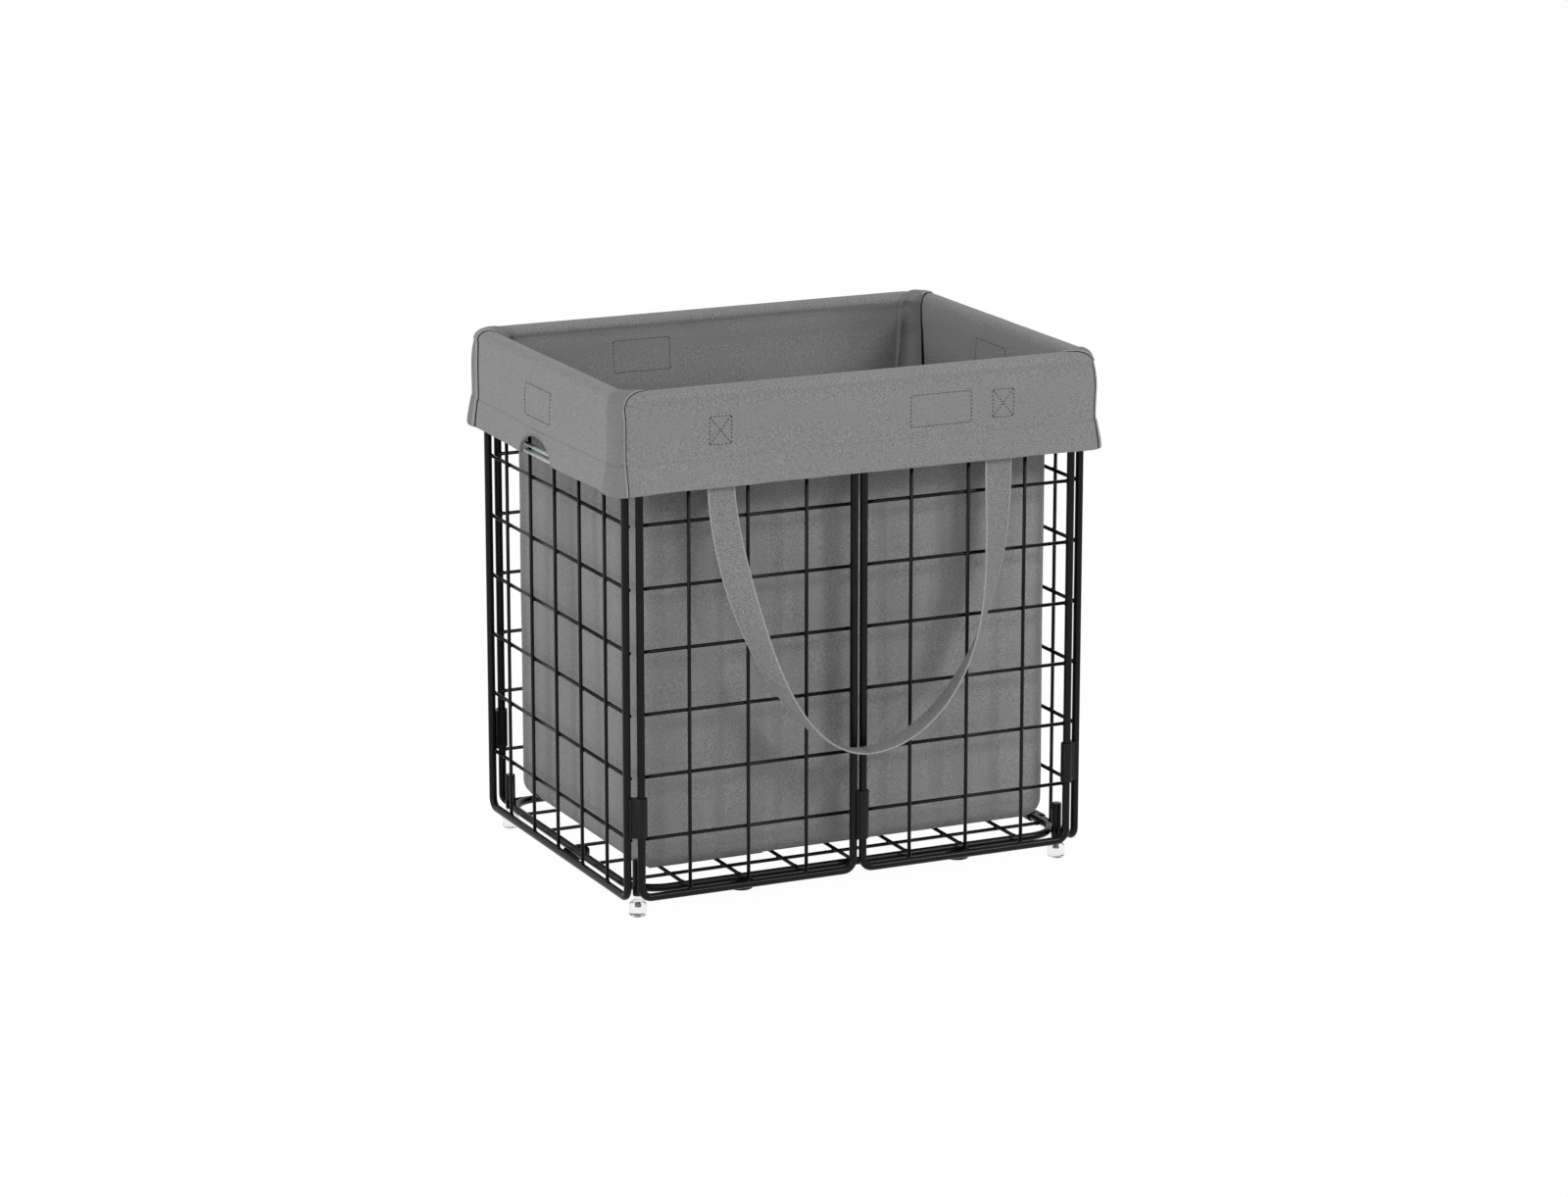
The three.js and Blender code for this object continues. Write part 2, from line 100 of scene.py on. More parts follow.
# Clips
CLIP_R = 5.7
CLIP_BORE_R = 4.0
BASE_CLIP_R = 5.15
CLIP_WEB = 7.0
CLIP_ROUND = 0.55
CUP_ANGLE = math.radians(64)
SLEEVE_STEPS = 22
CUP_STEPS = 12
LIP_STEPS = 6
BORE_SIDES = 20
BEVEL_STEPS = 2
LEVEL_FACE = 0.99

# Grip bars
GRIP_SIDES = 20
GRIP_STEPS = 8
GRIP_TIP = 0.05

# Sockets, feet and pads. Pairs are steps in from the outer radius, with heights or depths.
SOCKET_WALL = 1.4
SOCKET_EDGE = (0.4, 0.6)
SOCKET_CAP = 3.0
SOCKET_ROUND = 1.2
FOOT_OVER = 1.2
FOOT_TOP = 14.6
FOOT_CAP = [(3.0, 0.0), (0.6, 1.4), (0.0, 4.0), (0.3, 12.2), (1.6, FOOT_TOP)]
FOOT_SEAT = 0.4
FOOT_ROUND = 0.7
NECK_R = 4.2
STEM_R = 3.2
STEM_END = (0.6, 0.6)
RIBS = 5
RIB = [(0.0, -1.0), (0.5, -0.6), (0.5, 0.6), (0.0, 1.0)]
FOOT_CORE = [(0, 9.2), (1.9, 9.4), (2.4, 10.2), (1.6, 10.9), (2.4, 11.7), (2.2, 12.9), (0, 13.1)]
PAD_UNDER = [(5.0, 0.0), (4.2, 0.7), (2.6, 0.7), (2.0, 0.0), (1.6, 0.2), (0.0, 2.6)]
PAD_TOP = [(0.0, 0.0), (2.5, 0.0), (3.0, 0.8)]
PAD_ROUND = 0.8
TURNED_SIDES = 32
ROUND_STEPS = 3

# Liner
CLOTH = 1.8
HEM_CLOTH = 2.5
CUFF_X = 247.5
CUFF_Y = 180.9
CUFF_CORNER = (6.5, 22.0)
WALL_X = 228.0
WALL_Y = 165.5
WALL_CORNER = (21.0, 6.5)
BAG_X = 215.0
BAG_Y = 149.0
BAG_CORNER = (19.0, 19.0)
LEAST_CORNER = 2.0
BAG_BOTTOM_R = 17.0
BAG_Z = 39.0
FLARE_Z = 400.0
RIM_Z = 502.3
RIM_RISE = 10.5
RIM_POWER = 0.85
CUFF_TOP_Z = RIM_Z - RIM_RISE
HEM_Z = 408.8
SEAM_Z = 435.8
WALL_FOOT_Z = 470.0
HEM_FLARE = 2.4
HEM_OUT = 0.35
CUFF_BULGE = 0.5
CORNER_FLARE = 3.0
END_BULGE = 3.6
ARCH_HALF = 38.0
ARCH_RISE = 22.6
ARCH_SEAM = 0.4
ARCH_EDGE_R = 1.45
ARCH_EDGE_LAP = 3.0
ARCH_EDGE_SIDES = 10
CORNER_DROP = 1.5
CORNER_PULL = 3.0
CORNER_REACH = 24.0
SHOULDER = 22.0
FLAP_Z = 110.0
FLAP_SHARE = 0.93
SPLIT = 0.6
FOLD_SHARE = 0.16
FLOOR_INSET = 3.0
FLOOR_SAG = 4.0
FLOOR_LIFT = 0.2
FLOOR_GRID = (45, 31)

# Heights of the liner's rows from the hem, the seam, the cuff's top and the wall's foot, with thicknesses
HEM_SECTION = [(0.0, 0.9), (0.6, 1.9), *((z, HEM_CLOTH) for z in (1.6, 5.0, 9.0, 13.0, 18.0, 22.5, 25.6)),
               (26.6, 2.2)]
SEAM_SECTION = [(0.2, 1.3), (1.2, CLOTH), (6.0, CLOTH)]
WALL_STEPS = (0.0, -7.0, -14.0)
WALL_FOOT_STEPS = (1.4, -0.6)
BOTTOM_SEAM_STEP = 4
BOTTOM_SEAM_CLOTH = 0.9
CUFF_STEPS = 6
RIM_STEPS = 14
FLARE_STEPS = 8
BAG_STEPS = 23
FLAP_STEPS = 4
BOTTOM_STEPS = 9
CORNER_STEPS = 6
OUTER_SAMPLES = 12
INNER_SAMPLES = 9
END_SAMPLES = 11
ARCH_SAMPLES = 23
ROOT_HALF = math.sqrt(0.5)

# Ripples of the cloth: (depth, length across, length in height, rise, shift)
LEVEL = math.inf
HEM_RIPPLES = [(1.15, 47, LEVEL, 3.7, 0), (0.69, 21, LEVEL, 9.1, 0)]
HEM_LINE_RIPPLES = [(0.5, 60, LEVEL, 20.3, 0)]
CUFF_RIPPLES = [(0.65, 38, 26, 0, 0)]
WALL_RIPPLES = [(0.45, 40, 18, 4, 0)]
BAG_RIPPLES = [(2.2, 34, 210, 11, 0), (1.3, 90, 70, 2, 5), (0.5, 14, 60, 0, 0)]
FLOOR_RIPPLES = [(0.7, 50, LEVEL, 1.3, 0)]

# Lengths over which the ripples and the pull of the corners fade, and how far ripples fade at the corners
CORNER_FADE = 60.0
HEM_FADE = 10.0
HEM_LINE_FADE = (20.0, 40.0)
RIM_FADE = 30.0
BAG_TOP_FADE = 60.0
BAG_FOOT_FADE = 40.0
FLOOR_FADE = 3
PULL_FADE = 20.0
DROP_FADE = (8.0, 16.0)
HEM_CALM = 0.7
BAG_CALM = 0.8

# Where the liner bends when the hamper folds
CENTRE_BEND = 30.0
CENTRE_SLANT = 0.8
CORNER_START = 10.0
CORNER_BEND = 28.0
FOLD_ANGLE = math.radians(64)

# Hidden gussets and pleat
GUSSET_ROOM = 4.5
GUSSET_THICK = 0.7
GUSSET_LAP = 0.5
GUSSET_DROPS = {"left": 2.7, "right": 1.9}
GUSSET_GRID = (49, 15)
PLEAT_LIFTS = (0.5, 1.3)
PLEAT_SHARES = (0.8, 0.7)

# Binding tape
TAPE_PROUD = 2.4
TAPE_EDGE_SHARE = 0.25
TAPE_SQUARE = 5
TAPE_LAP = 0.6
TAPE_LIP = 0.3
# Widths of the near-black strip of painted shade beside the tape: in its crease outside, and in the gap
# inside
TAPE_CREASE_SHADE = {"front_left": 0.9, "front_right": 1.5, "back_left": 1.6, "back_right": 1.6}
TAPE_ROUND = {"front_right": 0.3}
TAPE_GAP_SHADE = 17.0
TAPE_INNER_LIP = 2.1
TAPE_SAMPLES = 13
TAPE_RIM_ROWS = 6

# Stitches
PATCHES = [("front_right", "y", -1, (49.0, 112.0)), ("back_left", "y", 1, (-104.0, -44.0)),
           ("right_end", "x", 1, (-31.0, 31.0)), ("left_end", "x", -1, (-31.0, 31.0))]
PATCH_Z = (447.0, 477.0)
INNER_PATCH_Z = (449.0, 480.0)
INNER_PATCH_ROWS = 8
CROSS_X = 145.7
CROSS_HALF = 11.0
CROSS_Z = (449.0, 475.5)
PATCH_STEPS = 9
STITCH_R = 0.34
STITCH_LONG = 2.5
STITCH_PITCH = 3.4
STITCH_LIFT = 0.35
STITCH_ROUND = 0.8
STITCH_SIDES = (4, 6)

# Strap. Its half profile is in shares of its half width and half thickness.
STRAP_WIDE = 25.0
STRAP_THICK = 1.5
STRAP_ARM_WIDE = 28.0
STRAP_ARM_X = 143.5
STRAP_LOW_Z = 142.0
STRAP_SEWN = 60.0
STRAP_SEAT = 0.3
STRAP_STEPS = 44
STRAP_ROUND = (1.3, 0.833)
STRAP_TURN = math.radians(88.2)
STRAP_PROFILE = [(-1, 0.55), (-0.985, 1.0), (-0.9, 1.05), (-0.86, 0.8), (-0.82, 1.0), (-0.3, 1.0)]
# Past this share of the half width the strap's faces carry a painted highlight
HIGHLIGHT_EDGE_SHARE = 0.88
STRAP_BEND = (60.0, 1.0)

# Camera, floor and light
LENS_PIXELS = 5000.0
PHOTO_WIDTH = 1600.0
SENSOR = 36.0
VIEW_END = 50
YAW = math.radians(25.1)
PITCH = math.radians(14.06)
DISTANCE = 4756.7
AIM_RIGHT = 3.35
AIM_Z = 246.7
LAMPS = {"key": ((0.9, 0.9), (1.9, -2.6, 2.4), 42), "fill": ((2.2, 1.8), (-3.4, -1.0, 1.3), 48)}
LAMP_AIM = (0, 0, 0.25)
AMBIENT = 0.55
WHITE = (1, 1, 1, 1)
FLOOR_REACH = 12.0
FLOOR_DROP = 0.0002
FLOOR_WHITE = (0.9, 0.9, 0.9, 1)
FLOOR_GLOW = 0.98

CORNERS = {"front_left": (-1, -1), "front_right": (1, -1), "back_right": (1, 1), "back_left": (-1, 1)}
LONG_SIDES = {"front": -1, "back": 1}
HANDS = {"left": -1, "right": 1}


# Shapes

class Shape:
    """Vertices and faces that grow into one mesh, with a material number for each face. Where the mesh has
    normals of its own, there is one for each vertex."""

    def __init__(self):
        self.verts = []
        self.faces = []
        self.slots = []
        self.normals = []

    def add(self, verts, faces, slots=0, normals=()):
        start = len(self.verts)
        self.verts.extend(tuple(float(c) for c in v) for v in verts)
        self.faces.extend(tuple(start + i for i in f) for f in faces)
        self.slots.extend([slots] * len(faces) if isinstance(slots, int) else slots)
        self.normals.extend(tuple(n) for n in normals)
        return start


def put(name, data):
    placed = bpy.data.objects.new(name, data)
    bpy.context.scene.collection.objects.link(placed)
    return placed


def make(name, shape, *materials):
    mesh = bpy.data.meshes.new(name)
    mesh.from_pydata([tuple(c * MM for c in v) for v in shape.verts], [], shape.faces)
    for material in materials:
        mesh.materials.append(material)
    mesh.polygons.foreach_set("material_index", shape.slots)
    mesh.polygons.foreach_set("use_smooth", [True] * len(mesh.polygons))
    mesh.update()
    if shape.normals:
        mesh.normals_split_custom_set_from_vertices(shape.normals)
    return put(name, mesh)


def hand_over(piece, slot, moves, *nodes):
    """Hides the solids that a piece stands for and parents the piece to the body it rides on. The slot is not
    used, and a piece given two bodies and its bend is left where it is.
    """
    if nodes:
        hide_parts(*nodes)
    if isinstance(moves, str):
        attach(piece, moves)
    else:
        first, second, start, end = moves
        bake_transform(piece)


def box_of(node_name):
    """The lowest and the highest corner of a solid's box, in millimetres."""
    return [np.array(corner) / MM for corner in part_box(node_name)]


def mix(a, b, t):
    return a + (b - a) * t


def mix_pairs(first, second, share):
    return tuple(mix(a, b, share) for a, b in zip(first, second))


def clamped(t):
    return min(max(t, 0.0), 1.0)


def smooth(t):
    t = clamped(t)
    return t * t * (3 - 2 * t)


def circle(sides):
    """Cosine and sine of evenly spaced angles round a circle."""
    angles = [2 * math.pi * k / sides for k in range(sides)]
    return [(math.cos(a), math.sin(a)) for a in angles]


def spread(count, pitch):
    return [(i - (count - 1) / 2) * pitch for i in range(count)]


def unit(vector):
    return vector / np.linalg.norm(vector)


def grid_faces(rows, columns, close_rows=False, close_columns=False):
    faces = []
    for i in range(rows if close_rows else rows - 1):
        for j in range(columns if close_columns else columns - 1):
            a = i * columns + j
            b = i * columns + (j + 1) % columns
            c = ((i + 1) % rows) * columns + (j + 1) % columns
            d = ((i + 1) % rows) * columns + j
            faces.append((a, b, c, d))
    return faces


def loft(shape, rings, strips=(0,), closed=False, flipped=False):
    """A skin over rings of equal length, with a face over each end unless the rings close on themselves.
    strips gives the slots round a ring: one for all, or one for each point."""
    count = len(rings[0])
    faces = grid_faces(len(rings), count, close_rows=closed, close_columns=True)
    slots = [strips[k % len(strips)] for k in range(len(faces))]
    if not closed:
        faces.append(tuple(range(count - 1, -1, -1)))
        faces.append(tuple(range((len(rings) - 1) * count, len(rings) * count)))
        slots += [0, 0]
    if flipped:
        faces = [f[::-1] for f in faces]
    shape.add([v for ring in rings for v in ring], faces, slots)


def tube(shape, path, radius, sides, up, closed=False):
    """A round bar along a path that lies square to up, or whose direction is never along it."""
    path = np.array(path, float)
    count = len(path)
    rings = []
    for i in range(count):
        before = path[(i - 1) % count] if closed or i > 0 else path[i]
        after = path[(i + 1) % count] if closed or i < count - 1 else path[i]
        along = unit(after - before)
        side = unit(np.cross(up, along))
        lift = np.cross(along, side)
        rings.append([path[i] + radius * (c * side + s * lift) for c, s in circle(sides)])
    loft(shape, rings, closed=closed)


def ball(shape, centre, axes, rows=6, columns=10):
    """An ellipsoid with half axes given as three vectors."""
    centre, ax, ay, az = (np.array(v, float) for v in (centre, *axes))
    verts = [centre + az]
    for i in range(1, rows):
        t = math.pi * i / rows
        verts += [centre + math.sin(t) * (c * ax + s * ay) + math.cos(t) * az for c, s in circle(columns)]
    verts.append(centre - az)
    last = len(verts) - 1
    faces = []
    for k in range(columns):
        n = (k + 1) % columns
        faces.append((0, 1 + k, 1 + n))
        faces.append((last, last - columns + n, last - columns + k))
    for a in range(1, last - columns, columns):
        for k in range(columns):
            n = (k + 1) % columns
            faces.append((a + k, a + columns + k, a + columns + n, a + n))
    shape.add(verts, faces)


def turned(shape, profile, centre, slot=0):
    """A turned piece round an upright axis, from (radius, height) pairs whose ends lie on the axis."""
    cx, cy, cz = centre
    sides = TURNED_SIDES
    verts = [(cx, cy, cz + profile[0][1])]
    for radius, height in profile[1:-1]:
        verts += [(cx + radius * c, cy + radius * s, cz + height) for c, s in circle(sides)]
    verts.append((cx, cy, cz + profile[-1][1]))
    last = len(verts) - 1
    faces = []
    for k in range(sides):
        n = (k + 1) % sides
        faces.append((0, 1 + n, 1 + k))
        faces.append((last, last - sides + k, last - sides + n))
    for a in range(1, last - sides, sides):
        for k in range(sides):
            n = (k + 1) % sides
            faces.append((a + k, a + n, a + sides + n, a + sides + k))
    shape.add(verts, faces, slot)


def rounded(profile, radius):
    """The profile with each inner corner replaced by a small arc."""
    points = [np.array(p, float) for p in profile]
    out = [points[0]]
    for back, here, on in zip(points, points[1:], points[2:]):
        to_back = np.linalg.norm(back - here)
        to_on = np.linalg.norm(on - here)
        reach = min(radius, to_back / 2, to_on / 2)
        a = here + (back - here) * reach / to_back
        b = here + (on - here) * reach / to_on
        for t in np.linspace(0, 1, ROUND_STEPS + 1):
            out.append((1 - t) ** 2 * a + 2 * t * (1 - t) * here + t * t * b)
    out.append(points[-1])
    return [tuple(p) for p in out]


# Materials

class Nodes:
    """A node tree and the nodes that are made in it."""

    def __init__(self, tree):
        self.tree = tree

    def add(self, kind, inputs=(), **settings):
        """A new node. Each input, by name or number, is linked to a socket or set to a constant."""
        made = self.tree.nodes.new(kind)
        for key, value in settings.items():
            setattr(made, key, value)
        for key, value in dict(inputs).items():
            if isinstance(value, bpy.types.NodeSocket):
                self.tree.links.new(value, made.inputs[key])
            else:
                made.inputs[key].default_value = value
        return made

    def maths(self, operation, *values):
        return self.add("ShaderNodeMath", enumerate(values), operation=operation).outputs[0]

    def total(self, operation, first, *others):
        """All the values added or multiplied together."""
        for other in others:
            first = self.maths(operation, first, other)
        return first

    def seen_directly(self):
        path = self.add("ShaderNodeLightPath").outputs
        rays = (path[f"Is {kind} Ray"] for kind in ("Camera", "Glossy", "Transmission"))
        return self.total("MAXIMUM", *rays)

    def output(self, kind, share, lit, seen):
        """The tree's output: one shader for what is lit, and another for what is seen directly."""
        mixed = self.add("ShaderNodeMixShader", {"Fac": share, 1: lit.outputs[0], 2: seen.outputs[0]})
        self.add(kind, {"Surface": mixed.outputs[0]})


class Surface(Nodes):
    """A new material with a principled shader, and coordinates that keep to the piece."""

    def __init__(self, name, colour, levels):
        self.material = bpy.data.materials.new(name)
        self.material.use_nodes = True
        super().__init__(self.material.node_tree)
        self.shader = self.tree.nodes["Principled BSDF"]
        self.shader.inputs["Base Color"].default_value = (*colour, 1)
        for key, value in levels.items():
            self.shader.inputs[key].default_value = value
        self.place = self.add("ShaderNodeTexCoord").outputs["Object"]

    def link(self, source, key):
        self.tree.links.new(source, self.shader.inputs[key])

    def noise(self, scale, detail=3.0, roughness=0.55, vector=None):
        inputs = {"Vector": vector or self.place, "Scale": scale, "Detail": detail, "Roughness": roughness}
        return self.add("ShaderNodeTexNoise", inputs).outputs["Fac"]

    def ramp(self, value, stops):
        made = self.add("ShaderNodeValToRGB", {"Fac": value})
        elements = made.color_ramp.elements
        while len(elements) < len(stops):
            elements.new(0.5)
        for element, (position, colour) in zip(elements, stops):
            element.position = position
            element.color = (*colour, 1)
        return made.outputs["Color"]

    def levelled(self, value, start, end, at_start, at_end):
        """A smooth change of level between two places."""
        inputs = {"Value": value, "From Min": start, "From Max": end, "To Min": at_start, "To Max": at_end}
        return self.add("ShaderNodeMapRange", inputs, interpolation_type="SMOOTHSTEP").outputs["Result"]

    def dressed(self, colour, height, strength, distance):
        """The material, once it has a colour and the relief of a height."""
        self.link(colour, "Base Color")
        relief = self.add("ShaderNodeBump", {"Height": height, "Strength": strength, "Distance": distance})
        self.link(relief.outputs["Normal"], "Normal")
        return self.material


def scaled(colour, factor):
    return tuple(c * factor for c in colour)


def solid(name, colour, levels, cloud, shades, grain, relief, uneven=None):
    """A material with clouds of noise for its shades and finer noise for its relief. cloud and grain are
    (scale, detail, roughness), relief is (strength, depth) and uneven is the factor and base of the gloss."""
    surface = Surface(name, colour, levels)
    clouds = surface.noise(*cloud)
    if uneven:
        surface.link(surface.maths("MULTIPLY_ADD", clouds, *uneven), "Roughness")
    return surface.dressed(surface.ramp(clouds, shades), surface.noise(*grain), *relief)


def moulded(name, colour, roughness, grain_scale, strength, specular=0.5):
    return solid(name, colour, {"Roughness": roughness, "Specular IOR Level": specular}, cloud=(90.0, 3.0),
                 shades=[(0.3, scaled(colour, 0.85)), (0.75, scaled(colour, 1.25))],
                 grain=(grain_scale, 2.0), relief=(strength, 0.0001))


# Painted light and shade on the bag's cloth: (axis, start, end, level at the start, level at the end), in
# metres
INNER_PAINTED_SHADING = [("Z", 0.37, 0.5, 0.7, 1.12), ("X", -0.23, -0.1, 1.12, 1.03), ("X", 0.09, 0.218, 1.0, 0.7),
               ("X", 0.22, 0.227, 1.0, 1.28)]
# Painted shade under the cuff, painted light towards the right, and upright streaks of painted light and
# shade
PAINTED_SHADE_UNDER_CUFF = (0.34, 0.41, 1.0, 0.86)
PAINTED_LIGHT_TO_RIGHT = (0.45, 1.07)
PAINTED_STREAK_STRETCH = (30.0, 30.0, 2.5)
PAINTED_STREAK_LEVELS = (0.5, 0.75)


def inner_painted_shading(cloth, parts):
    """Painted shade inside the bag: the cloth darkens downwards and towards the back right corner, and
    painted light brightens it at the left and on the right wall.
    """
    tones = (cloth.levelled(parts[axis], *span) for axis, *span in INNER_PAINTED_SHADING)
    return cloth.total("MULTIPLY", *tones)


def bag_painted_shading(cloth, parts):
    """Painted light and shade on the bag: painted shade under the cuff, painted light towards the right, and
    soft upright streaks of painted light and shade.
    """
    stretched = cloth.add("ShaderNodeVectorMath", {0: cloth.place, 1: PAINTED_STREAK_STRETCH}, operation="MULTIPLY")
    streaks = cloth.noise(1.0, 2.0, 0.5, stretched.outputs[0])
    return cloth.total("MULTIPLY", cloth.levelled(parts["Z"], *PAINTED_SHADE_UNDER_CUFF),
                       cloth.maths("MULTIPLY_ADD", parts["X"], *PAINTED_LIGHT_TO_RIGHT),
                       cloth.maths("MULTIPLY_ADD", streaks, *PAINTED_STREAK_LEVELS))


# The weave: its gloss and sheen, its noises, and its shares in the relief and in the shade
WOVEN_LEVELS = {"Roughness": 0.88, "Sheen Weight": 0.12, "Sheen Roughness": 0.5, "Specular IOR Level": 0.25}
THREAD_NOISE = (850.0, 1.0, 0.6)
MOTTLE_NOISE = (9.0, 4.0)
WEAVE_RELIEF = 0.35
THREAD_RELIEF = 0.9
WEAVE_DEPTH = 0.0004
WEAVE_SHADE = 0.45
THREAD_SHADE = 5.5
MOTTLE_SHADE = 4
DARKEST = 0.62
LIGHTEST = 1.42


def woven(name, colour, pitch, relief, contrast, mottle=0.05, painted_shading=None):
    """A weave of warp and weft round the walls, with threads of uneven brightness."""
    cloth = Surface(name, colour, WOVEN_LEVELS)
    parts = cloth.add("ShaderNodeSeparateXYZ", {"Vector": cloth.place}).outputs
    wave = 2 * math.pi / (pitch * MM)
    skewed = cloth.maths("MULTIPLY", cloth.maths("SUBTRACT", parts["X"], parts["Y"]), 0.5)
    warp, weft = (cloth.maths("SINE", cloth.maths("MULTIPLY", cloth.maths("ADD", *along), wave))
                  for along in ((parts["X"], parts["Y"]), (parts["Z"], skewed)))
    weave = cloth.maths("MULTIPLY", warp, weft)
    threads = cloth.noise(*THREAD_NOISE)
    height = cloth.maths("MULTIPLY", threads, THREAD_RELIEF)
    height = cloth.maths("MULTIPLY_ADD", weave, WEAVE_RELIEF, height)
    shade = cloth.maths("MULTIPLY_ADD", weave, contrast * WEAVE_SHADE, 0.5)
    clouds = cloth.noise(*MOTTLE_NOISE)
    for source, share in ((threads, THREAD_SHADE * contrast), (clouds, MOTTLE_SHADE * mottle)):
        shade = cloth.maths("MULTIPLY_ADD", cloth.maths("SUBTRACT", source, 0.5), share, shade)
    shades = [(0.0, scaled(colour, DARKEST)), (0.5, colour), (1.0, scaled(colour, LIGHTEST))]
    shown = cloth.ramp(shade, shades)
    # Painted light and shade, where given, scales the colour
    if painted_shading:
        inputs = {0: shown, "Scale": painted_shading(cloth, parts)}
        shown = cloth.add("ShaderNodeVectorMath", inputs, operation="SCALE").outputs[0]
    return cloth.dressed(shown, height, relief, WEAVE_DEPTH)


# Solid materials. moulded takes a colour, a roughness, the scale and strength of its grain, and its gloss.
wire_coat = solid("coated_wire", (0.004, 0.004, 0.0044), {"Roughness": 0.28, "Specular IOR Level": 0.16},
                  cloud=(55.0, 4.0), grain=(1400.0, 2.0), relief=(0.25, 0.00012), uneven=(0.16, 0.2),
                  shades=[(0.35, (0.0032, 0.0032, 0.0035)), (0.7, (0.0056, 0.0056, 0.006))])
clip_plastic = moulded("clip_plastic", (0.0055, 0.0055, 0.006), 0.36, 900.0, 0.3, 0.2)
pad_rubber = moulded("pad_rubber", (0.008, 0.008, 0.0082), 0.72, 700.0, 0.4, 0.25)
grip_finish = solid("grip_finish", (0.42, 0.45, 0.42), {"Roughness": 0.32}, cloud=(1500.0, 2.0, 0.7),
                    grain=(1500.0, 2.0, 0.7), relief=(0.2, 0.0001),
                    shades=[(0.36, (0.10, 0.115, 0.11)), (0.48, (0.40, 0.44, 0.42)),
                            (0.66, (0.66, 0.70, 0.67))])
foot_plastic = solid("clear_plastic", (0.93, 0.95, 0.96),
                     {"Roughness": 0.08, "Transmission Weight": 0.92, "IOR": 1.46}, cloud=(160.0, 2.0),
                     shades=[(0.3, (0.88, 0.90, 0.92)), (0.7, (0.97, 0.98, 0.99))],
                     grain=(320.0, 1.0), relief=(0.12, 0.0003))
foot_core = moulded("foot_core", (0.06, 0.06, 0.062), 0.35, 600.0, 0.2)
# A near-black strip of painted shade beside the binding tape
crease_shade = moulded("crease_shade", (0.004, 0.004, 0.0042), 0.95, 700.0, 0.2, 0.05)

# Woven materials: a colour, the pitch of the weave, its relief and contrast, and its clouds
GREY = (0.242, 0.242, 0.246)
liner_cloth = woven("liner_cloth", GREY, 2.4, 0.5, 0.3)
# The cloth inside the bag, with painted light and shade
inner_cloth_painted_shading = woven("inner_cloth_painted_shading", GREY, 2.4, 0.5, 0.3, painted_shading=inner_painted_shading)
# The bag's outside, with painted light and shade
bag_cloth_painted_shading = woven("bag_cloth_painted_shading", GREY, 2.4, 0.5, 0.3, painted_shading=bag_painted_shading)
binding_tape = woven("binding_tape", (0.197, 0.197, 0.2), 1.8, 0.35, 0.2)
# A lighter copy of the tape's cloth: a painted highlight along the tape's edge
tape_painted_highlight = woven("tape_painted_highlight", (0.30, 0.30, 0.303), 1.8, 0.35, 0.2)
strap_web = woven("strap_web", (0.225, 0.225, 0.227), 2.6, 0.6, 0.4, 0.03)
# A lighter copy of the webbing: a painted highlight along the strap's edges
strap_painted_highlight = woven("strap_painted_highlight", (0.33, 0.33, 0.333), 2.6, 0.4, 0.2, 0.0)
thread_grey = woven("thread_grey", (0.085, 0.085, 0.088), 0.8, 0.2, 0.12, 0.0)


# Wire frame

UP = np.array((0, 0, 1.0))


def loop_path(half_width, half_height, radius, steps=BEND_STEPS):
    """Points of a rounded rectangle round the origin."""
    points = []
    for corner, (su, sv) in enumerate([(1, 1), (-1, 1), (-1, -1), (1, -1)]):
        for i in range(steps + 1):
            a = (corner + i / steps) * math.pi / 2
            points.append((su * (half_width - radius) + radius * math.cos(a),
                           sv * (half_height - radius) + radius * math.sin(a)))
    return points


def wire_panel(name, body, centre, across, outward, half_width, uprights):
    """A welded panel: a bent rod loop, with upright wires in its plane and level wires behind them."""
    shape = Shape()
    centre, across, outward = (np.array(v, float) for v in (centre, across, outward))
    half_height = (TOP_Z - BOTTOM_Z) / 2
    middle = centre + UP * (BOTTOM_Z + half_height)
    outline = loop_path(half_width, half_height, BEND_R)
    tube(shape, [middle + across * u + UP * v for u, v in outline], ROD_R, ROD_SIDES, outward, closed=True)
    rows = [BOTTOM_Z + FIRST_CELL + i * ROW_PITCH for i in range(ROWS)]
    behind = -outward * SETBACK
    for z in rows:
        ends = [centre + behind + across * s * (half_width + WELD_R / 2) + UP * z for s in (-1, 1)]
        tube(shape, ends, WIRE_R, WIRE_SIDES, UP)
        for s in (-1, 1):
            spot = centre + behind * POST_WELD_SHARE + across * s * (half_width - ROD_R / 2) + UP * z
            ball(shape, spot, (across * WELD_LONG, outward * WELD_R, UP * WELD_R))
    for u in spread(uprights, UPRIGHT_PITCH):
        foot = centre + across * u
        tube(shape, [foot + UP * z for z in (BOTTOM_Z, TOP_Z)], WIRE_R, WIRE_SIDES, across)
        for z in rows:
            ball(shape, foot + behind / 2 + UP * z, (across * WELD_R, outward * WELD_R, UP * WELD_R))
        for z in (BOTTOM_Z + ROD_R, TOP_Z - ROD_R):
            ball(shape, foot + UP * z, (across * WELD_R, outward * WELD_R, UP * WELD_LONG / 2))
    hand_over(make("wires_" + name, shape, wire_coat), "coated_wire", body, name)


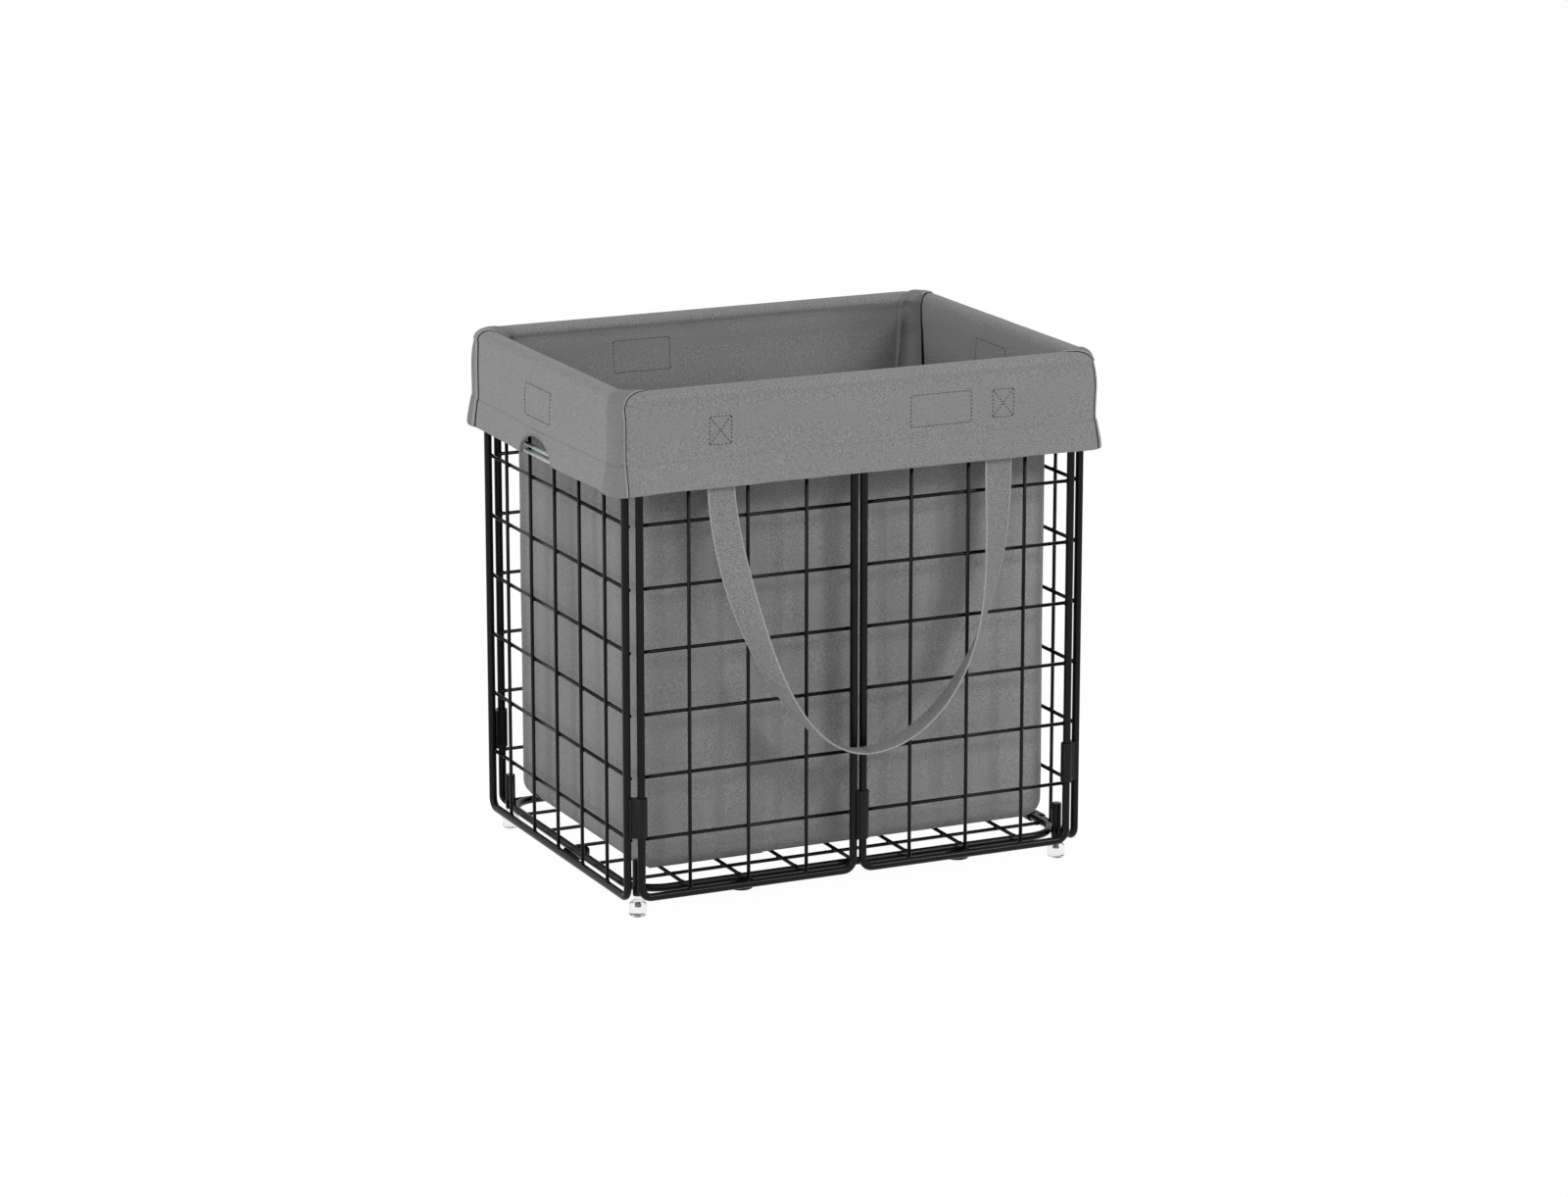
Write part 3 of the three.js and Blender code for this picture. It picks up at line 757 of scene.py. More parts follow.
def base_wires():
    def weld(x, y, z, long_x=WELD_R, long_y=WELD_R):
        ball(shape, (x, y, z), np.diag((long_x, long_y, WELD_R)))

    shape = Shape()
    tube(shape, [(x, y, BASE_Z) for x, y in loop_path(BASE_X, BASE_Y, BASE_BEND_R, 2 * BEND_STEPS)],
         ROD_R, ROD_SIDES, UP, closed=True)
    low = BASE_Z - SETBACK / 2
    high = BASE_Z + SETBACK / 2
    for y in spread(LONG_WIRES, UPRIGHT_PITCH):
        tube(shape, [(-BASE_X, y, low), (BASE_X, y, low)], WIRE_R, WIRE_SIDES, UP)
        for s in (-1, 1):
            weld(s * (BASE_X - ROD_R), y, low, long_x=WELD_LONG)
    for x in spread(CROSS_WIRES, CROSS_PITCH):
        tube(shape, [(x, -BASE_Y, high), (x, BASE_Y, high)], WIRE_R, WIRE_SIDES, UP)
        for s in (-1, 1):
            weld(x, s * (BASE_Y - ROD_R), high, long_y=WELD_LONG)
        for y in spread(LONG_WIRES, UPRIGHT_PITCH):
            weld(x, y, BASE_Z)
    hand_over(make("wires_base", shape, wire_coat), "coated_wire", "base", "base_panel")


def add_frame():
    for end, sign in (("right", 1), ("left", -1)):
        wire_panel(f"{end}_end_panel", f"{end}_end", (sign * END_X, 0, 0), (0, 1, 0), (sign, 0, 0),
                   END_POST_Y, END_UPRIGHTS)
    width = (SIDE_POST_X - CENTRE_POST_X) / 2
    middle = (SIDE_POST_X + CENTRE_POST_X) / 2
    for side, sy in LONG_SIDES.items():
        for half, hand in HANDS.items():
            wire_panel(f"{side}_{half}_panel", f"{side}_{half}", (hand * middle, sy * SIDE_Y, 0), (1, 0, 0),
                       (0, sy, 0), width, SIDE_UPRIGHTS)
    base_wires()


# Clips

def arc(centre_x, radius, first, last, steps=SLEEVE_STEPS):
    angles = np.linspace(first, last, steps + 1)
    return [(centre_x + radius * math.cos(a), radius * math.sin(a)) for a in angles]


def clip_outline(reach, radius, web, bore, open_first):
    """A sleeve round the second rod and a sleeve or an open cup round the first, joined by a web."""
    half = math.asin(web / 2 / radius)
    sleeve = arc(reach, radius, half - math.pi, math.pi - half)
    if not open_first:
        return arc(0, radius, half, 2 * math.pi - half) + sleeve
    return (arc(0, bore, CUP_ANGLE, -CUP_ANGLE, CUP_STEPS) + arc(0, radius, -CUP_ANGLE, -half, LIP_STEPS)
            + sleeve + arc(0, radius, half, CUP_ANGLE, LIP_STEPS))


def clip_mesh(name, reach, radius, length, open_first):
    """A moulded clip along Z with rounded edges, its first rod on the axis and its second at reach."""
    curve = bpy.data.curves.new(name, "CURVE")
    curve.dimensions = "2D"
    curve.fill_mode = "BOTH"
    curve.extrude = (length / 2 - CLIP_ROUND) * MM
    curve.bevel_depth = CLIP_ROUND * MM
    curve.bevel_resolution = BEVEL_STEPS
    bore = CLIP_BORE_R + CLIP_ROUND
    loops = [clip_outline(reach, radius - CLIP_ROUND, CLIP_WEB - 2 * CLIP_ROUND, bore, open_first)]
    for centre_x in [reach] if open_first else [0, reach]:
        loops.append([(centre_x + bore * c, bore * s) for c, s in circle(BORE_SIDES)])
    for points in loops:
        line = curve.splines.new("POLY")
        line.points.add(len(points) - 1)
        for point, (x, y) in zip(line.points, points):
            point.co = (x * MM, y * MM, 0, 1)
        line.use_cyclic_u = True
    holder = put(name, curve)
    bpy.context.view_layer.update()
    mesh = bpy.data.meshes.new_from_object(holder.evaluated_get(bpy.context.evaluated_depsgraph_get()))
    bpy.data.objects.remove(holder)
    mesh.materials.clear()
    mesh.materials.append(clip_plastic)
    for polygon in mesh.polygons:
        polygon.use_smooth = len(polygon.vertices) == 4 and abs(polygon.normal.z) < LEVEL_FACE
    return mesh


def place_clip(name, body, size, place, turn, open_first):
    piece = put("clip_" + name, clip_mesh("clip_" + name, *size, open_first))
    piece.rotation_euler = turn
    piece.location = [c * MM for c in place]
    hand_over(piece, "clip", body, name)


def upright_clips(place, body, first, second):
    """The lower and the upper clip round two uprights whose axes pass through first and second."""
    along = np.subtract(second, first)
    for level in ("lower", "upper"):
        name = f"{place}_{level}_clip"
        low, high = box_of(name)
        place_clip(name, body, (math.hypot(*along), CLIP_R, high[2] - low[2]),
                   (*first, (low[2] + high[2]) / 2), (0, 0, math.atan2(along[1], along[0])), True)


def add_clips():
    for end, sx in (("right", 1), ("left", -1)):
        for side, sy in LONG_SIDES.items():
            upright_clips(f"{end}_{side}", f"{end}_end", (sx * END_X, sy * END_POST_Y),
                          (sx * SIDE_POST_X, sy * SIDE_Y))
    for side, sy in LONG_SIDES.items():
        upright_clips(f"{side}_centre", f"{side}_centre", (-CENTRE_POST_X, sy * SIDE_Y),
                      (CENTRE_POST_X, sy * SIDE_Y))
    rise = BASE_Z - BOTTOM_Z
    for side in LONG_SIDES:
        name = f"base_hinge_{side}_clip"
        low, high = box_of(name)
        place_clip(name, "right_end", (math.hypot(END_X - BASE_X, rise), BASE_CLIP_R, high[1] - low[1]),
                   (END_X, (low[1] + high[1]) / 2, BOTTOM_Z),
                   (math.pi / 2, -math.atan2(rise, BASE_X - END_X), 0), False)


# Grip bars, feet and pads

def add_grips():
    for end in ("right", "left"):
        for level in ("upper", "lower"):
            name = f"{end}_{level}_grip_bar"
            low, high = box_of(name)
            x, _, z = (low + high) / 2
            _, half, radius = (high - low) / 2
            tip = []
            for a in np.linspace(0, math.pi / 2, GRIP_STEPS + 1):
                tip.append((radius * (1 - math.cos(a)) - half, radius * max(math.sin(a), GRIP_TIP)))
            rings = [[(x + r * c, y, z + r * s) for c, s in circle(GRIP_SIDES)]
                     for y, r in tip + [(-y, r) for y, r in reversed(tip)]]
            shape = Shape()
            loft(shape, rings)
            hand_over(make("bar_" + name, shape, grip_finish), "grip", f"{end}_end", name)


def add_feet():
    for corner in CORNERS:
        low, high = box_of(f"{corner}_socket")
        x, y = (low[:2] + high[:2]) / 2
        radius = (high[0] - low[0]) / 2
        tall = high[2] - low[2]
        bore = radius - SOCKET_WALL
        profile = [(0, tall), (radius - SOCKET_EDGE[0], tall), (radius, tall - SOCKET_EDGE[1]), (radius, 0),
                   (bore, 0), (bore, tall - SOCKET_CAP), (0, tall - SOCKET_CAP)]
        shape = Shape()
        turned(shape, rounded(profile, SOCKET_ROUND), (x, y, low[2]))
        hand_over(make(f"tube_{corner}_socket", shape, wire_coat), "coated_wire", "base", f"{corner}_socket")
        foot_low, foot_high = box_of(f"{corner}_foot")
        cap_r = (foot_high[0] - foot_low[0]) / 2 + FOOT_OVER
        neck, top = low[2] - FOOT_SEAT, foot_high[2]
        profile = [(0, 0)] + [(cap_r - step, height) for step, height in FOOT_CAP]
        profile += [(NECK_R, FOOT_TOP), (NECK_R, neck), (STEM_R, neck)]
        for share in (np.arange(RIBS) + 0.5) / RIBS:
            profile += [(STEM_R - step, mix(neck, top, share) + height) for step, height in RIB]
        profile += [(STEM_R, top - STEM_END[1]), (STEM_R - STEM_END[0], top), (0, top)]
        shape = Shape()
        turned(shape, rounded(profile, FOOT_ROUND), (x, y, 0))
        turned(shape, FOOT_CORE, (x, y, 0), slot=1)
        foot = make(f"clear_{corner}_foot", shape, foot_plastic, foot_core)
        hand_over(foot, "foot", "base", f"{corner}_foot")


def add_pads():
    for place in ("left", "right", *CORNERS):
        low, high = box_of(f"{place}_pad")
        x, y = (low[:2] + high[:2]) / 2
        radius = (high[0] - low[0]) / 2
        tall = high[2] - low[2]
        profile = [(0, 0)] + [(radius - step, height) for step, height in PAD_UNDER]
        profile += [(radius - step, tall - depth) for step, depth in PAD_TOP] + [(0, tall - PAD_TOP[-1][1])]
        shape = Shape()
        turned(shape, rounded(profile, PAD_ROUND), (x, y, low[2]))
        hand_over(make(f"round_{place}_pad", shape, pad_rubber), "pad", "base", f"{place}_pad")


# Liner. Its section runs from the hem up the cuff, over the rim and down the inside to the bag's floor.

def grown(pair, out):
    return tuple(max(v + out, LEAST_CORNER) for v in pair)


def section():
    """Rows of (half_x, half_y, corner radii, z, thickness), from the hem to the bag's floor."""
    rows = []

    def cuff_row(z, out, thick):
        rows.append((CUFF_X + out, CUFF_Y + out, grown(CUFF_CORNER, out), z, thick))

    for z, thick in HEM_SECTION:
        cuff_row(HEM_Z + z, HEM_FLARE * (1 - z / (SEAM_Z - HEM_Z)) + HEM_OUT, thick)
    for z, thick in SEAM_SECTION:
        cuff_row(SEAM_Z + z, 0.0, thick)
    for t in np.linspace(0, 1, CUFF_STEPS + 1)[1:]:
        cuff_row(mix(SEAM_Z + SEAM_SECTION[-1][0], CUFF_TOP_Z, t), CUFF_BULGE * math.sin(math.pi * t), CLOTH)
    half = (CUFF_X - WALL_X) / 2
    for a in np.linspace(0, math.pi, RIM_STEPS + 1)[1:-1]:
        out = half * math.cos(a)
        rows.append(((CUFF_X + WALL_X) / 2 + out, (CUFF_Y + WALL_Y) / 2 + out,
                     mix_pairs(CUFF_CORNER, WALL_CORNER, (1 - math.cos(a)) / 2),
                     CUFF_TOP_Z + RIM_RISE * math.sin(a) ** RIM_POWER, CLOTH))
    for z in [CUFF_TOP_Z + step for step in WALL_STEPS] + [WALL_FOOT_Z + step for step in WALL_FOOT_STEPS]:
        rows.append((WALL_X, WALL_Y, WALL_CORNER, z, CLOTH))
    for t in np.linspace(0, 1, FLARE_STEPS + 1)[1:]:
        rows.append((mix(WALL_X, BAG_X, smooth(t)), mix(WALL_Y, BAG_Y, smooth(t)),
                     mix_pairs(WALL_CORNER, BAG_CORNER, smooth(t)), mix(WALL_FOOT_Z, FLARE_Z, t), CLOTH))
    low = BAG_Z + BAG_BOTTOM_R
    for top, foot, steps in ((FLARE_Z, FLAP_Z, BAG_STEPS), (FLAP_Z, low, FLAP_STEPS)):
        rows += [(BAG_X, BAG_Y, BAG_CORNER, z, CLOTH) for z in np.linspace(top, foot, steps + 1)[1:]]
    for i, a in enumerate(np.linspace(0, math.pi / 2, BOTTOM_STEPS + 1)[1:], start=1):
        pull = BAG_BOTTOM_R * (1 - math.cos(a))
        rows.append((BAG_X - pull, BAG_Y - pull, grown(BAG_CORNER, -pull), low - BAG_BOTTOM_R * math.sin(a),
                     BOTTOM_SEAM_CLOTH if i == BOTTOM_SEAM_STEP else CLOTH))
    inset = BAG_BOTTOM_R + FLOOR_INSET
    rows.append((BAG_X - inset, BAG_Y - inset, (LEAST_CORNER, LEAST_CORNER), BAG_Z, CLOTH))
    return rows


def long_side_shares():
    """Columns along a long side, as shares of its straight part, closer beside its centre fold."""
    outer = np.linspace(1, SPLIT, OUTER_SAMPLES)
    inner = np.linspace(SPLIT, FOLD_SHARE, INNER_SAMPLES)[1:]
    fold = np.linspace(FOLD_SHARE, 0, INNER_SAMPLES)[1:]
    half = np.concatenate([outer, inner, fold])
    return np.concatenate([half, -half[::-1][1:]])


def end_shares():
    """Columns along an end, closer over the arch of its grip."""
    reach = ARCH_HALF / (CUFF_Y - CUFF_CORNER[1])
    arch = reach * np.cos(np.linspace(0, math.pi, ARCH_SAMPLES))
    out = np.linspace(1, reach, END_SAMPLES)[:-1]
    return np.concatenate([-out, -arch, out[::-1]])


def stations():
    """Columns (core_x, core_y, normal_x, normal_y, piece) anticlockwise from the front of the right end.
    The piece is the one between this column and the next."""
    columns = []

    def corner(index, sx, sy, first, second):
        for i in range(CORNER_STEPS):
            a = (index + i / CORNER_STEPS) * math.pi / 2
            columns.append((sx, sy, math.cos(a), math.sin(a), first if i < CORNER_STEPS / 2 else second))

    def side(shares, nx, ny, name_at):
        for share, following in zip(shares[:-1], shares[1:]):
            core = (nx, share) if nx else (share, ny)
            columns.append((*core, nx, ny, name_at((share + following) / 2)))

    def long_name(face):
        def name_at(share):
            hand = "right" if share > 0 else "left"
            return f"{face}_{hand}_{'outer' if abs(share) > SPLIT else 'inner'}"
        return name_at

    side(end_shares(), 1, 0, lambda share: "right_end")
    corner(0, 1, 1, "right_end", "back_right_outer")
    side(long_side_shares(), 0, 1, long_name("back"))
    corner(1, -1, 1, "back_left_outer", "left_end")
    side(end_shares()[::-1], -1, 0, lambda share: "left_end")
    corner(2, -1, -1, "left_end", "front_left_outer")
    side(-long_side_shares(), 0, -1, long_name("front"))
    corner(3, 1, -1, "front_right_outer", "right_end")
    return columns


def first_row(fits, start=0):
    """Number of the first row, from start, whose height fits."""
    return next(i for i in range(start, len(ROWS_OF_LINER)) if fits(ROWS_OF_LINER[i][3]))


ROWS_OF_LINER = section()
COLUMNS = stations()
HEM_ROWS = first_row(lambda z: z >= SEAM_Z)
CUFF_ROWS = first_row(lambda z: z > CUFF_TOP_Z)
RIM_ROWS = CUFF_ROWS + RIM_STEPS - 2
BAG_ROWS = first_row(lambda z: z < WALL_FOOT_Z, RIM_ROWS)
FLARE_ROWS = first_row(lambda z: z <= FLARE_Z, BAG_ROWS + 1)
FLAP_ROWS = first_row(lambda z: z <= FLAP_Z + SMALL, BAG_ROWS + 1)


def ripple(waves, x, y, z):
    return sum(depth * noise.noise(Vector((x / across + shift, y / across, z / high + rise)))
               for depth, across, high, rise, shift in waves)


def liner_point(row, column, index):
    """A point of the liner's middle surface."""
    half_x, half_y, (round_x, round_y), z, _ = row
    core_x, core_y, nx, ny, _ = column
    x = core_x * (half_x - round_x) + round_x * nx
    y = core_y * (half_y - round_y) + round_y * ny
    at_corner = (smooth((abs(y) - (half_y - CORNER_FADE)) / CORNER_FADE)
                 * smooth((abs(x) - (half_x - CORNER_FADE)) / CORNER_FADE))
    out = 0.0
    if index < CUFF_ROWS:
        low = smooth((SEAM_Z + HEM_FADE - z) / (SEAM_Z - HEM_Z + HEM_FADE))
        top = smooth((CUFF_TOP_Z - z) / RIM_FADE)
        if abs(nx) > abs(ny):
            out += END_BULGE * max(0.0, 1 - (y / (half_y - round_y)) ** 2) * top
        out += CORNER_FLARE * at_corner * low
        out += low * ripple(HEM_RIPPLES, x, y, z) * (1 - HEM_CALM * at_corner)
        out += top * ripple(CUFF_RIPPLES, x, y, z)
    elif index < BAG_ROWS:
        out += ripple(WALL_RIPPLES, x, y, z)
    else:
        grow = smooth((WALL_FOOT_Z - z) / BAG_TOP_FADE) * smooth((z - BAG_Z) / BAG_FOOT_FADE)
        out += grow * (1 - BAG_CALM * at_corner) * ripple(BAG_RIPPLES, x, y, z)
    if index < BAG_ROWS:
        near = smooth((CORNER_REACH - max(half_x - abs(x), half_y - abs(y))) / PULL_FADE)
        outside = clamped((half_x - WALL_X) / (CUFF_X - WALL_X))
        above = clamped((z - CUFF_TOP_Z + SHOULDER) / SHOULDER)
        out -= CORNER_PULL * near * outside * above ** 2
        z -= CORNER_DROP * near * smooth((z - CUFF_TOP_Z + DROP_FADE[0]) / DROP_FADE[1])
    if abs(nx) == 1 and index < HEM_ROWS:
        reach = 1 - (y / ARCH_HALF) ** 2
        if reach > 0:
            floor = HEM_Z + ARCH_RISE * math.sqrt(reach)
            z = floor + (z - HEM_Z) * (SEAM_Z - ARCH_SEAM - floor) / (SEAM_Z - HEM_Z)
    if index < CUFF_ROWS:
        z += ripple(HEM_LINE_RIPPLES, x, y, z) * smooth((SEAM_Z + HEM_LINE_FADE[0] - z) / HEM_LINE_FADE[1])
    return np.array((x + out * nx, y + out * ny, z))


def vertex_normals(verts, faces):
    normals = np.zeros((len(verts), 3))
    v = np.array(verts)
    for face in faces:
        a, b, c = v[face[0]], v[face[1]], v[face[2]]
        n = np.cross(b - a, c - a)
        if len(face) == 4:
            n += np.cross(c - a, v[face[3]] - a)
        for i in face:
            normals[i] += n
    lengths = np.linalg.norm(normals, axis=1)
    lengths[lengths == 0] = 1
    return normals / lengths[:, None]


def grid_normals(grid):
    """Outward directions at the points of a grid of the liner."""
    faces = grid_faces(*grid.shape[:2], close_columns=True)
    return vertex_normals(grid.reshape(-1, 3), faces).reshape(grid.shape)


# The liner's outer and inner face as grids of points, row by column, with directions out of the cloth
MIDDLE = np.array([[liner_point(row, column, i) for column in COLUMNS]
                   for i, row in enumerate(ROWS_OF_LINER)])
MIDDLE_NORMALS = grid_normals(MIDDLE)
HALF_CLOTH = MIDDLE_NORMALS * np.array([row[4] / 2 for row in ROWS_OF_LINER])[:, None, None]
OUTER = MIDDLE + HALF_CLOTH
INNER = MIDDLE - HALF_CLOTH


def piece_of(i, j):
    core_x, core_y, nx, _, name = COLUMNS[j]
    following = COLUMNS[(j + 1) % len(COLUMNS)][1]
    if nx == 1 and i >= FLAP_ROWS and max(abs(core_y), abs(following)) <= FLAP_SHARE:
        return "floor"
    return name


def slanted(sx, sy, start, end):
    return (sx * start[0], sy * start[1]), (sx * end[0], sy * end[1])


def corner_bend(sx, sy):
    """Start and end of the bend beside a corner, square to a line from the bag's corner to the cuff's."""
    pull = 1 - ROOT_HALF
    cuff = np.array((CUFF_X - CUFF_CORNER[0] * pull, CUFF_Y - CUFF_CORNER[1] * pull))
    bag = np.array((BAG_X - BAG_CORNER[0] * pull, BAG_Y - BAG_CORNER[1] * pull))
    line = unit(cuff - bag)
    across = np.array((-line[1], line[0]))
    return slanted(sx, sy, cuff + CORNER_START * across, cuff + (CORNER_START + CORNER_BEND) * across)


def centre_bend(sx, sy):
    """Start and end of the bend beside the centre clips, which begins sooner on the bag than on the cuff."""
    reach = CENTRE_BEND / (1 + CENTRE_SLANT ** 2)
    return slanted(sx, sy, (CENTRE_BEND, CUFF_Y), (CENTRE_BEND - reach, CUFF_Y - CENTRE_SLANT * reach))


# The body each piece of the liner moves with, or two bodies and the start and end of a bend between them,
# which is not applied.
LINER_MOVES = {"right_end": "right_end", "left_end": "left_end", "back_left_outer": "back_left",
               "floor": "right_end"}
for side, sy in LONG_SIDES.items():
    for half, sx in HANDS.items():
        LINER_MOVES[f"{side}_{half}_inner"] = (f"{side}_{half}", f"{side}_centre", *centre_bend(sx, sy))
        if (side, half) != ("back", "left"):
            LINER_MOVES[f"{side}_{half}_outer"] = (f"{half}_end", f"{side}_{half}", *corner_bend(sx, sy))


def add_edge(shape, a, b):
    """The cut edge of the cloth between two neighbouring places on its grids."""
    ends = [(i, j % len(COLUMNS)) for i, j in (a, b)]
    quad = [INNER[ends[0]], INNER[ends[1]], OUTER[ends[1]], OUTER[ends[0]]]
    flat = np.cross(quad[1] - quad[0], quad[2] - quad[0])
    size = np.linalg.norm(flat)
    shape.add(quad, [(0, 1, 2, 3)], normals=[flat / size if size > 0 else UP] * 4)


def add_liner():
    rows, columns = len(ROWS_OF_LINER), len(COLUMNS)
    skins = {"out": (OUTER, grid_normals(OUTER)), "in": (INNER, -grid_normals(INNER))}
    cells = {}
    for i in range(rows - 1):
        for j in range(columns):
            cells.setdefault(piece_of(i, j), []).append((i, j))
    for name, own in cells.items():
        shape = Shape()
        members = set(own)
        used = {}

        def corner(face, i, j):
            """Number of a vertex of one skin, added when it is first used."""
            place = i, j % columns
            if (face, place) not in used:
                points, normals = skins[face]
                used[face, place] = shape.add([points[place]], [], normals=[normals[place]])
            return used[face, place]

        for i, j in own:
            ring = [(i, j), (i, j + 1), (i + 1, j + 1), (i + 1, j)]
            shape.faces.append(tuple(corner("out", *place) for place in ring))
            shape.faces.append(tuple(corner("in", *place) for place in ring[::-1]))
            # Faces inside the bag and on the bag's outside get the cloths with painted light and shade
            shape.slots.extend([1 if i > RIM_ROWS else 0, 2 if i >= BAG_ROWS else 0])
            beyond = [(i - 1, j), (i, (j + 1) % columns), (i + 1, j), (i, (j - 1) % columns)]
            for neighbour, a, b in zip(beyond, ring, ring[1:] + ring[:1]):
                if neighbour not in members:
                    add_edge(shape, a, b)
        if name == "floor":
            add_floor(shape)
        piece = make("liner_" + name, shape, liner_cloth, inner_cloth_painted_shading, bag_cloth_painted_shading)
        hand_over(piece, "liner", LINER_MOVES[name], "liner_bag", "liner_cuff")
        if name == "floor":
            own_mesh(piece)


def floor_height(x, y):
    reach_x = max(0.0, 1 - (x / (BAG_X - BAG_BOTTOM_R)) ** 2)
    reach_y = max(0.0, 1 - (y / (BAG_Y - BAG_BOTTOM_R)) ** 2)
    calm = min(1.0, FLOOR_FADE * reach_x * reach_y)
    return BAG_Z + FLOOR_LIFT - FLOOR_SAG * reach_x * reach_y + ripple(FLOOR_RIPPLES, x, y, 0) * calm


def slab(shape, middle, thick):
    """A thin sheet with a top, a bottom and closed edges, from a grid of points in its middle."""
    middle = np.array(middle)
    faces = grid_faces(*middle.shape[:2])
    for lift, own in ((thick / 2, faces), (-thick / 2, [f[::-1] for f in faces])):
        verts = (middle + lift * UP).reshape(-1, 3)
        shape.add(verts, own, normals=vertex_normals(verts, own))
    border = [*middle[0], *middle[1:, -1], *middle[-1, ::-1][1:], *middle[1:-1, 0][::-1]]
    verts = [p + lift * UP for p in border for lift in (-thick / 2, thick / 2)]
    count = len(border)
    faces = [(2 * i, 2 * ((i + 1) % count), 2 * ((i + 1) % count) + 1, 2 * i + 1) for i in range(count)]
    shape.add(verts, faces, normals=vertex_normals(verts, faces))


def add_floor(shape):
    xs, ys = (np.linspace(-reach, reach, steps) for reach, steps in
              zip((BAG_X - BAG_BOTTOM_R, BAG_Y - BAG_BOTTOM_R), FLOOR_GRID))
    slab(shape, [[(x, y, floor_height(x, y)) for x in xs] for y in ys], CLOTH)


def add_gussets():
    """Hidden wedges under the floor. Each pair meets below its long side's fold when the hamper is folded."""
    slope = math.tan(math.pi / 2 - FOLD_ANGLE)
    outer_y = BAG_Y - BAG_BOTTOM_R
    first_x = CENTRE_POST_X + (SIDE_Y - outer_y - GUSSET_ROOM) / slope
    for side, sy in LONG_SIDES.items():
        for half, sx in (("right", 1), ("left", -1)):
            grid = []
            for x in np.linspace(first_x, BAG_X - BAG_BOTTOM_R, GUSSET_GRID[0]):
                inner_y = SIDE_Y - GUSSET_ROOM - (x - CENTRE_POST_X) * slope
                grid.append([(sx * x, sy * y, floor_height(x, y) - GUSSET_DROPS[half])
                             for y in np.linspace(inner_y - GUSSET_LAP, outer_y, GUSSET_GRID[1])])
            shape = Shape()
            slab(shape, grid if sx * sy < 0 else grid[::-1], GUSSET_THICK)
            wedge = make(f"liner_gusset_{side}_{half}", shape, liner_cloth)
            hand_over(wedge, "liner", LINER_MOVES[f"{side}_{half}_outer"])


def in_pleat(column):
    """Whether a column lies on the back left corner or close beside it."""
    core_x, core_y, nx, ny, _ = column
    if nx == -1:
        return core_y > PLEAT_SHARES[0]
    if ny == 1:
        return core_x < -PLEAT_SHARES[1]
    return nx < 0 < ny


def add_pleat():
    """Cloth of the left end that laps the back wall outside, and closes the open corner when it folds."""
    columns = [j for j, column in enumerate(COLUMNS) if column[2] <= 0 <= column[3] and in_pleat(column)]
    facing = MIDDLE_NORMALS[BAG_ROWS:, columns]
    layers = [INNER[BAG_ROWS:, columns] - facing * lift for lift in PLEAT_LIFTS]
    marks = np.arange(facing[..., 0].size).reshape(facing.shape[:2])
    border = [*marks[0], *marks[1:, -1], *marks[-1, ::-1][1:], *marks[1:-1, 0][::-1]]
    faces = grid_faces(*marks.shape)
    faces += [tuple(marks.size + k for k in f[::-1]) for f in faces]
    for here, on in zip(border, border[1:] + border[:1]):
        faces.append((on, here, here + marks.size, on + marks.size))
    shape = Shape()
    shape.add(np.concatenate(layers).reshape(-1, 3), faces,
              normals=np.concatenate((facing, -facing)).reshape(-1, 3))
    hand_over(make("liner_pleat", shape, liner_cloth), "liner", "left_end")


# Stitched patches and boxes on the liner

def add_stitches(shape, line, out):
    """Short raised threads along a line of points on cloth that faces out."""
    lengths = [np.linalg.norm(b - a) for a, b in zip(line, line[1:])]
    marks = np.cumsum([0] + lengths)
    count = max(1, int(marks[-1] / STITCH_PITCH))
    for n in range(count):
        middle = (n + 0.5) * marks[-1] / count
        k = min(int(np.searchsorted(marks, middle, side="right")) - 1, len(lengths) - 1)
        along = (line[k + 1] - line[k]) / lengths[k]
        side = np.cross(along, out)
        spot = mix(line[k], line[k + 1], (middle - marks[k]) / lengths[k]) + out * STITCH_R * STITCH_LIFT
        start = len(shape.verts)
        ball(shape, spot, (along * STITCH_LONG / 2, side * STITCH_R, out * STITCH_R), *STITCH_SIDES)
        for v in shape.verts[start:]:
            away = np.array(v) - spot
            shape.normals.append(tuple(unit(away - along * np.dot(away, along) * STITCH_ROUND)))


def cloth_at(axis, sign, along, z, inside):
    """The point of the liner's shown face at a place on one side and a height, from its own grid."""
    side = (sign, 0) if axis == "x" else (0, sign)
    place, out = (1, 0) if axis == "x" else (0, 1)
    rows = list(range(BAG_ROWS + INNER_PATCH_ROWS, RIM_ROWS, -1) if inside else range(HEM_ROWS, CUFF_ROWS))
    columns = [j for j, column in enumerate(COLUMNS) if column[2:4] == side]
    columns.sort(key=lambda j: OUTER[rows[0], j, place])
    places, depths = ([np.interp(z, OUTER[rows, j, 2], OUTER[rows, j, part]) for j in columns]
                      for part in (place, out))
    depth = np.interp(along, places, depths)
    return np.array((depth, along, z) if axis == "x" else (along, depth, z))


